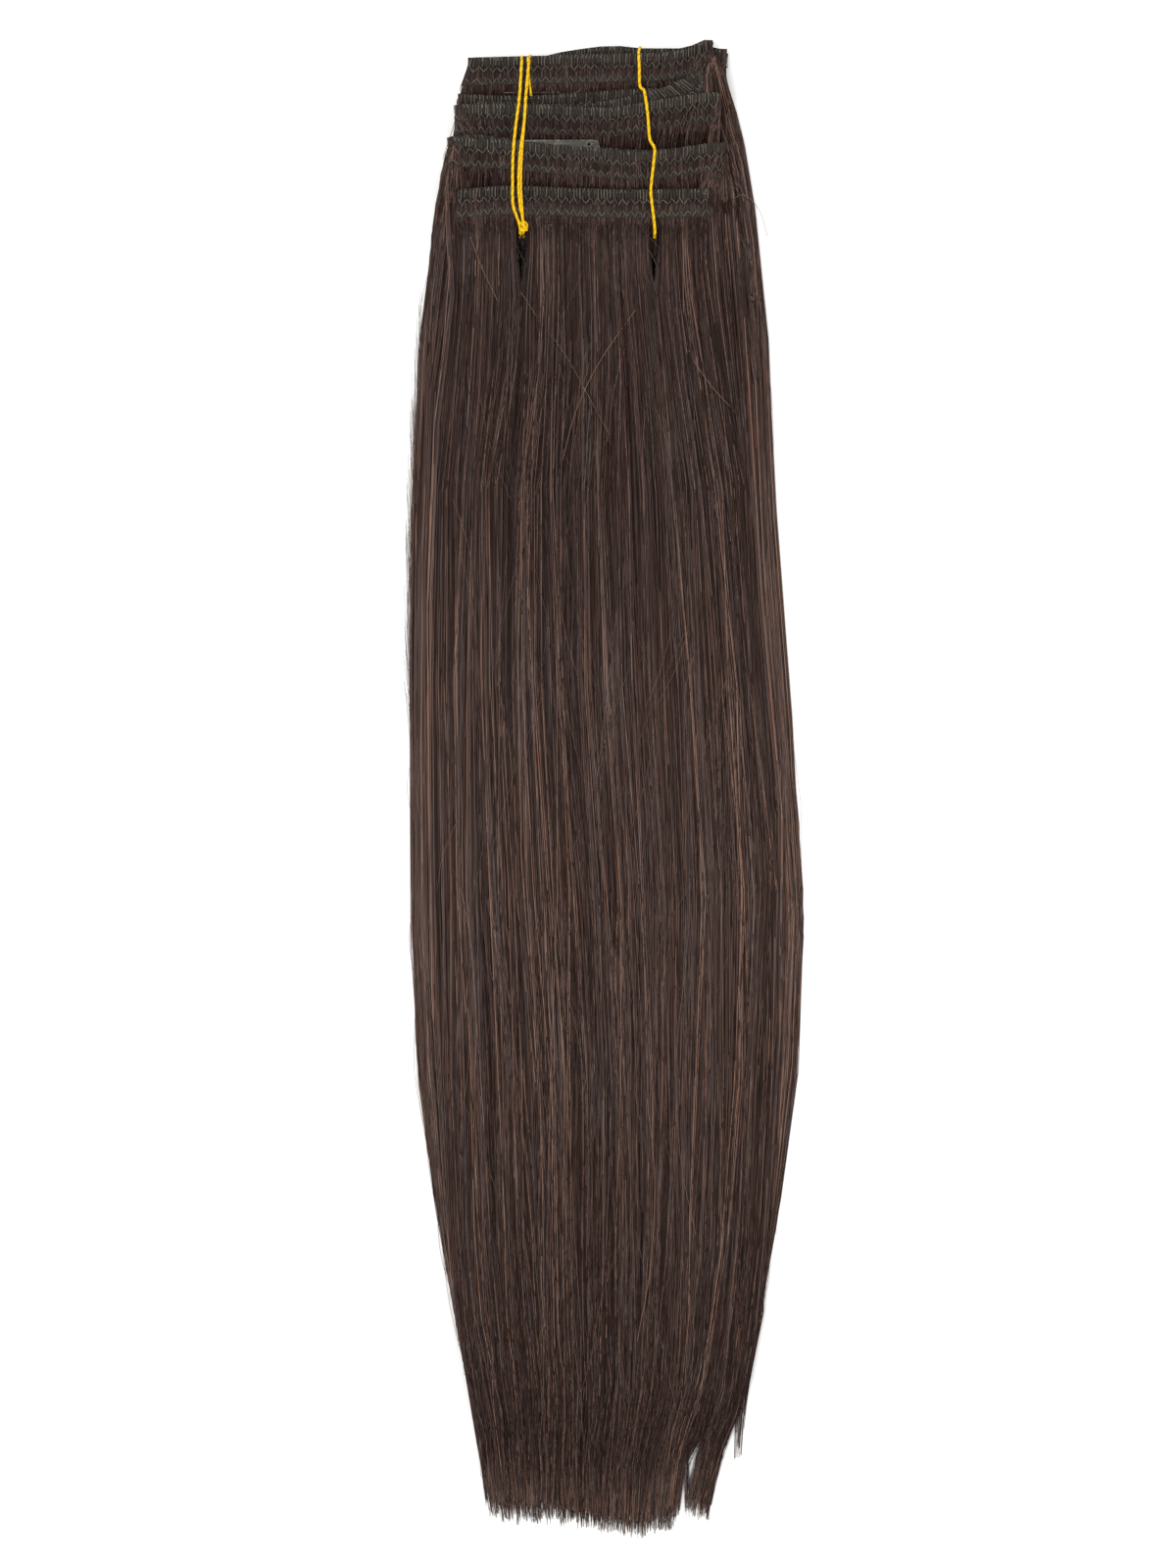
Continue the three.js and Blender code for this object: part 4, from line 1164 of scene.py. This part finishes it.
def strip_place(k, along, down, out):
    """Places on a track: along its sewn edge, down from it, and out from the band's middle."""
    middles, outs, downs = edges[k]
    at = distances(middles)
    middle, downward, outward = (
        np.stack([np.interp(along, at, rows[:, n]) for n in range(3)], -1) for rows in (middles, downs, outs)
    )
    return middle + downward * np.asarray(down)[..., None] + outward * np.asarray(out)[..., None]


print("thread", 2 * thread_radius / MM, "mm thick")

# %% [markdown]
# ## Sewing
# Each stitch is a line on the track's own strip, so it turns with the folds. Both faces are sewn.

# %% Stitches on the tracks
def stitches(rng, k):
    length = distances(edges[k][0])[-1]
    blocks = []
    loops = np.arange(0.4 * MM, length - 0.4 * MM, loop_pitch)[:, None]
    loops = loops + rng.normal(0, 0.08, loops.shape) * MM
    slant = np.array([0, 0.15, 0.35, 0.5, 0.6])[None, :] * loop_pitch
    down = np.array([1.3, 0.35, -0.28, 0.35, 1.3])[None, :] * MM + 0 * loops
    out = np.array([1, 1, 0, -1, -1])[None, :] * (face - 0.08 * MM) + 0 * loops
    places = strip_place(k, loops + slant, down, out)
    blocks.append((places, 0.24 * MM, rng.uniform(0.05, 0.6, loops.shape), False))
    for side in (1, -1):
        uprights = np.arange(0.6 * MM, length - 0.6 * MM, upright_pitch)[:, None]
        uprights = uprights + rng.normal(0, 0.1, uprights.shape) * MM
        count = len(uprights)
        growing = np.array([[0, 0.5, 1]])
        lean = rng.normal(0, 0.12, (count, 1)) * growing
        down = np.array([[0.1, 1.9, 3.5]]) * MM + rng.normal(0, 0.3, (count, 1)) * MM * growing
        places = strip_place(k, uprights + lean * MM, down, side * face + 0 * down)
        blocks.append((places, 0.17 * MM, rng.uniform(0.1, 0.62, (count, 1)), False))
        for depth, half in zigzag_rows:
            turns = np.arange(0.8 * MM, length - 0.8 * MM, zigzag_pitch / 4)
            swing = np.array([-1, 0, 1, 0])[np.arange(len(turns)) % 4]
            down = depth + swing * half * rng.uniform(0.7, 1.2, len(turns))
            down = down + rng.normal(0, 0.16, len(turns)) * MM
            rise = face + 0.12 * MM * (1 - np.abs(swing)) - (0.14 * MM if depth > 6 * MM else 0)
            places = strip_place(k, turns, down, side * rise)
            blocks.append((places[None], thread_radius, rng.uniform(0.3, 0.58, (1, len(turns))), False))
    return blocks


for k in range(1, weft_count + 1):
    made = tubes(f"stitches_{k}", stitches(np.random.default_rng(200 + k), k), 3, thread)
    keep(made, "weft_track", f"weft_{k}_track")

# %% [markdown]
# ## The clips
# Snap clips pressed from spring steel sheet and dipped in dark brown enamel: a thin even coat, fairly
# glossy, and lighter on the edges, partly wear and partly a painted highlight. Only the rims of a few
# look out past the tracks.

# %% Clips
enamel, tree, shader = start_material(
    "spring_steel_enamelled_brown",
    {
        "Metallic": 0.0, "Roughness": 0.35, "Specular IOR Level": 0.3,
        "Coat Weight": 0.2, "Coat Roughness": 0.2,
    },
)
# The edges are drawn lighter by their pointiness, partly wear and partly a painted highlight along them.
shape = add(tree, "ShaderNodeNewGeometry")
wear = grain(tree, None, 3.0, 700.0)
mixing = {"operation": "MULTIPLY_ADD", 1: 0.25}
edge = add(tree, "ShaderNodeMath", mixing, {0: wear, 2: shape.outputs["Pointiness"]})
paint(tree, shader, edge.outputs[0], [(0.5, "#1f1c19"), (0.66, "#2d2a24"), (0.72, "#625e50")])
for name in sorted(n for n in nodes if "_clip" in n):
    made = rounded(name, name + "_enamelled", 0.18 * MM, enamel)
    keep(made, "clip_steel", name)
    print(made.name, len(made.data.polygons), "faces")

# %% [markdown]
# ## The ties
# Gold wrapped elastic cord of three plies. The left tie goes round twice and is knotted, and the right
# one goes round once.

# %% Gold cord
gold_stops = [(0.25, "#a87a00"), (0.5, "#e8b800"), (0.8, "#ffdc1e")]
gold_look = {"Roughness": 0.38, "Specular IOR Level": 0.3}
gold_wraps = 1800.0  # per metre, the turns of the flat foil round the elastic
gold = spun("elastic_cord_gold_wrapped", gold_look, gold_wraps, 0.5, gold_stops)

# The runs over the head, in pixels of the photograph.
tie_runs = {
    "tie_left": [
        [(533, 50), (530.5, 100), (527, 130), (524, 161), (523.4, 191), (524, 213), (530, 230), (531, 240)],
        [(541, 50), (537, 99), (535, 130), (531, 161), (529.5, 191), (531, 213), (533.6, 226), (534, 240)],
    ],
    "tie_right": [
        [(653.4, 46), (651.7, 54), (652.2, 72), (652.6, 91), (656.3, 92.5), (658.6, 105), (660.8, 123),
         (662.6, 146), (667.5, 155), (666.7, 168), (664, 193), (664, 203), (667.7, 233), (667.7, 241)],
    ],
}
# Two loose ends of the left tie: a line and its radius.
loose_runs = [
    ([(538.7, 60), (539.2, 70), (539.8, 82), (542, 99)], 0.5 * MM),
    ([(537.5, 99), (535.5, 130), (533, 161), (532, 191), (533, 213), (534, 226)], 0.42 * MM),
]
cord_radius = 0.6 * MM
cord_lift = 0.35 * MM  # over the strands
print("runs over the head", {name: len(runs) for name, runs in tie_runs.items()})

# %% [markdown]
# ## How a tie runs
# Each tie goes over the head, down through the hair, and back underneath. Over the top it is taut: it
# touches only the highest places under it, like a string pulled over a staircase, which is the upper
# hull of the heights below it.

# %% Routes
def upper_hull(s, z):
    """Numbers of the places that a taut string over them touches."""
    touched = []
    for n in range(len(s)):
        while len(touched) > 1:
            a, b = touched[-2:]
            if (z[b] - z[a]) * (s[n] - s[a]) > (z[n] - z[a]) * (s[b] - s[a]):
                break
            touched.pop()
        touched.append(n)
    return touched


def tie_route(run):
    """A closed loop of points round the head."""
    flat = smooth_line([from_photo(*p) for p in run], 240)
    order = np.argsort(-flat[:, 1])
    flat = flat[order]
    s = flat[0, 1] - flat[:, 1]
    beside = (-cord_radius, 0, cord_radius)
    ground = np.max([look(everything, flat[:, 0] + dx, flat[:, 1]) for dx in beside], axis=0)
    ground = ground + cord_lift + cord_radius
    ground[-6:] -= np.linspace(0, 2.2, 6) * MM
    ground[:4] -= np.linspace(1.6, 0, 4) * MM
    hull = upper_hull(s, ground)
    z = np.interp(s, s[hull], ground[hull])
    over = np.column_stack([flat, z])
    low = 0.85 * MM
    near = [m[np.abs(m[:, 0] - over[0, 0]) < 5 * MM, 1] for m, _, _ in edges.values()]
    head_y, slit_y = np.concatenate(near).max() + cord_lift + cord_radius, over[-1, 1] - 0.9 * MM
    down = [(over[-1, 0], slit_y, h) for h in np.linspace(over[-1, 2] - 1 * MM, low + 1 * MM, 8)]
    back = [
        (over[-1, 0] + (over[0, 0] - over[-1, 0]) * t, slit_y + (head_y - slit_y) * t, low)
        for t in np.linspace(0.02, 0.98, 14)
    ]
    up = [(over[0, 0], head_y, h) for h in np.linspace(low + 1 * MM, over[0, 2] - 1 * MM, 8)]
    loop = np.vstack([over[::6], down, back, up])
    loop[:, 1] = np.minimum(loop[:, 1], head_y)
    return loop


def resampled(loop, step, closed):
    """The same route with evenly spaced points."""
    if closed:
        loop = np.vstack([loop, loop[:1]])
    at = distances(loop)
    count = max(int(at[-1] / step), 4)
    wanted = np.linspace(0, at[-1], count, endpoint=not closed)
    return np.stack([np.interp(wanted, at, loop[:, n]) for n in range(3)], -1)


def softened(loop, passes, closed):
    for _ in range(passes):
        if closed:
            loop = 0.25 * np.roll(loop, 1, 0) + 0.5 * loop + 0.25 * np.roll(loop, -1, 0)
        else:
            smooth(loop)
    return loop


left_turn = tie_route(tie_runs["tie_left"][0])
print("a turn of the left tie has", len(left_turn), "points")

# %% [markdown]
# ## Winding the plies
# Three plies turn round each route once in 3 mm. A frame carried along the route without spin says
# where each one is. On a closed route what is left over at its end is shared out along it.

# %% Plies, knot and loose ends
plies, ply_pitch = 3, 3.0 * MM
ply_ring, ply_size = 0.55, 0.54  # a ply's distance from the route and its radius, as shares of the cord's


def twisted(route, radius, closed):
    """Plies wound round a route. Their turns keep to a frame that is carried along it without spin."""
    ahead = np.roll(route, -1, 0) - np.roll(route, 1, 0) if closed else np.gradient(route, axis=0)
    ahead /= np.linalg.norm(ahead, axis=1)[:, None]
    side = np.zeros_like(route)
    side[0] = np.cross(ahead[0], (0.3, 0.5, 0.81))
    side[0] /= np.linalg.norm(side[0])
    for n in range(1, len(route)):
        side[n] = side[n - 1] - ahead[n] * side[n - 1].dot(ahead[n])
        side[n] /= np.linalg.norm(side[n])
    other = np.cross(ahead, side)
    turns = round(distances(route)[-1] / ply_pitch)
    gap = 0.0
    if closed:
        carried = side[-1] - ahead[0] * side[-1].dot(ahead[0])
        gap = math.atan2(carried.dot(other[0]), carried.dot(side[0]))
    share = np.arange(len(route)) / len(route)
    blocks = []
    for ply in range(plies):
        angle = 2 * math.pi * (turns * share + ply / plies) - gap * share
        offset = np.cos(angle)[:, None] * side + np.sin(angle)[:, None] * other
        places = route + offset * radius * ply_ring
        # Painted shade: the three plies are drawn in three shades of the gold, dark to light, so the twist
        # shows.
        blocks.append((places[None], radius * ply_size, 0.15 + 0.1 * ply, closed))
    return blocks


def short_cord(middle, places):
    """A short piece of cord round a place, in mm from it."""
    route = resampled(np.array(middle) + np.array(places) * MM, 0.35 * MM, False)
    return twisted(route, cord_radius, False)


knot_at, knot_lift = (534.5, 232), 1.3 * MM
knot_bar = [(-1.6, -1.5, -0.2), (0, -1.9, 0.2), (1.4, -1.4, 0)]
for name, runs in tie_runs.items():
    blocks = []
    for run in runs:
        route = softened(resampled(tie_route(run), 0.4 * MM, True), 4, True)
        blocks += twisted(route, cord_radius, True)
    if name == "tie_left":
        x, y = from_photo(*knot_at)
        knot_middle = (x, y, look(tops[6], x, y) + knot_lift)
        turns = np.linspace(0, 2 * 2 * math.pi, 40)
        along = 0.55 * turns / 6.3 - 0.6 + 1.5 * np.sin(turns / 2)
        knot = np.column_stack([along, 1.15 * np.sin(turns), 0.85 * np.cos(turns)])
        blocks += short_cord(knot_middle, knot) + short_cord(knot_middle, knot_bar)
        for line, thick in loose_runs:
            end = smooth_line([from_photo(*p) for p in line], 60)
            s = end[0, 1] - end[:, 1]
            high = look(everything, end[:, 0], end[:, 1]) + cord_lift + cord_radius
            hull = upper_hull(s, high)
            route = np.column_stack([end, np.interp(s, s[hull], high[hull]) + 0.4 * MM])
            blocks += twisted(resampled(route, 0.4 * MM, False), thick, False)
    keep(tubes(name + "_cord", blocks, 4, gold), "tie_thread", name)

# %% [markdown]
# ## Finish
# The view layer is brought up to date.

# %% Update
bpy.context.view_layer.update()
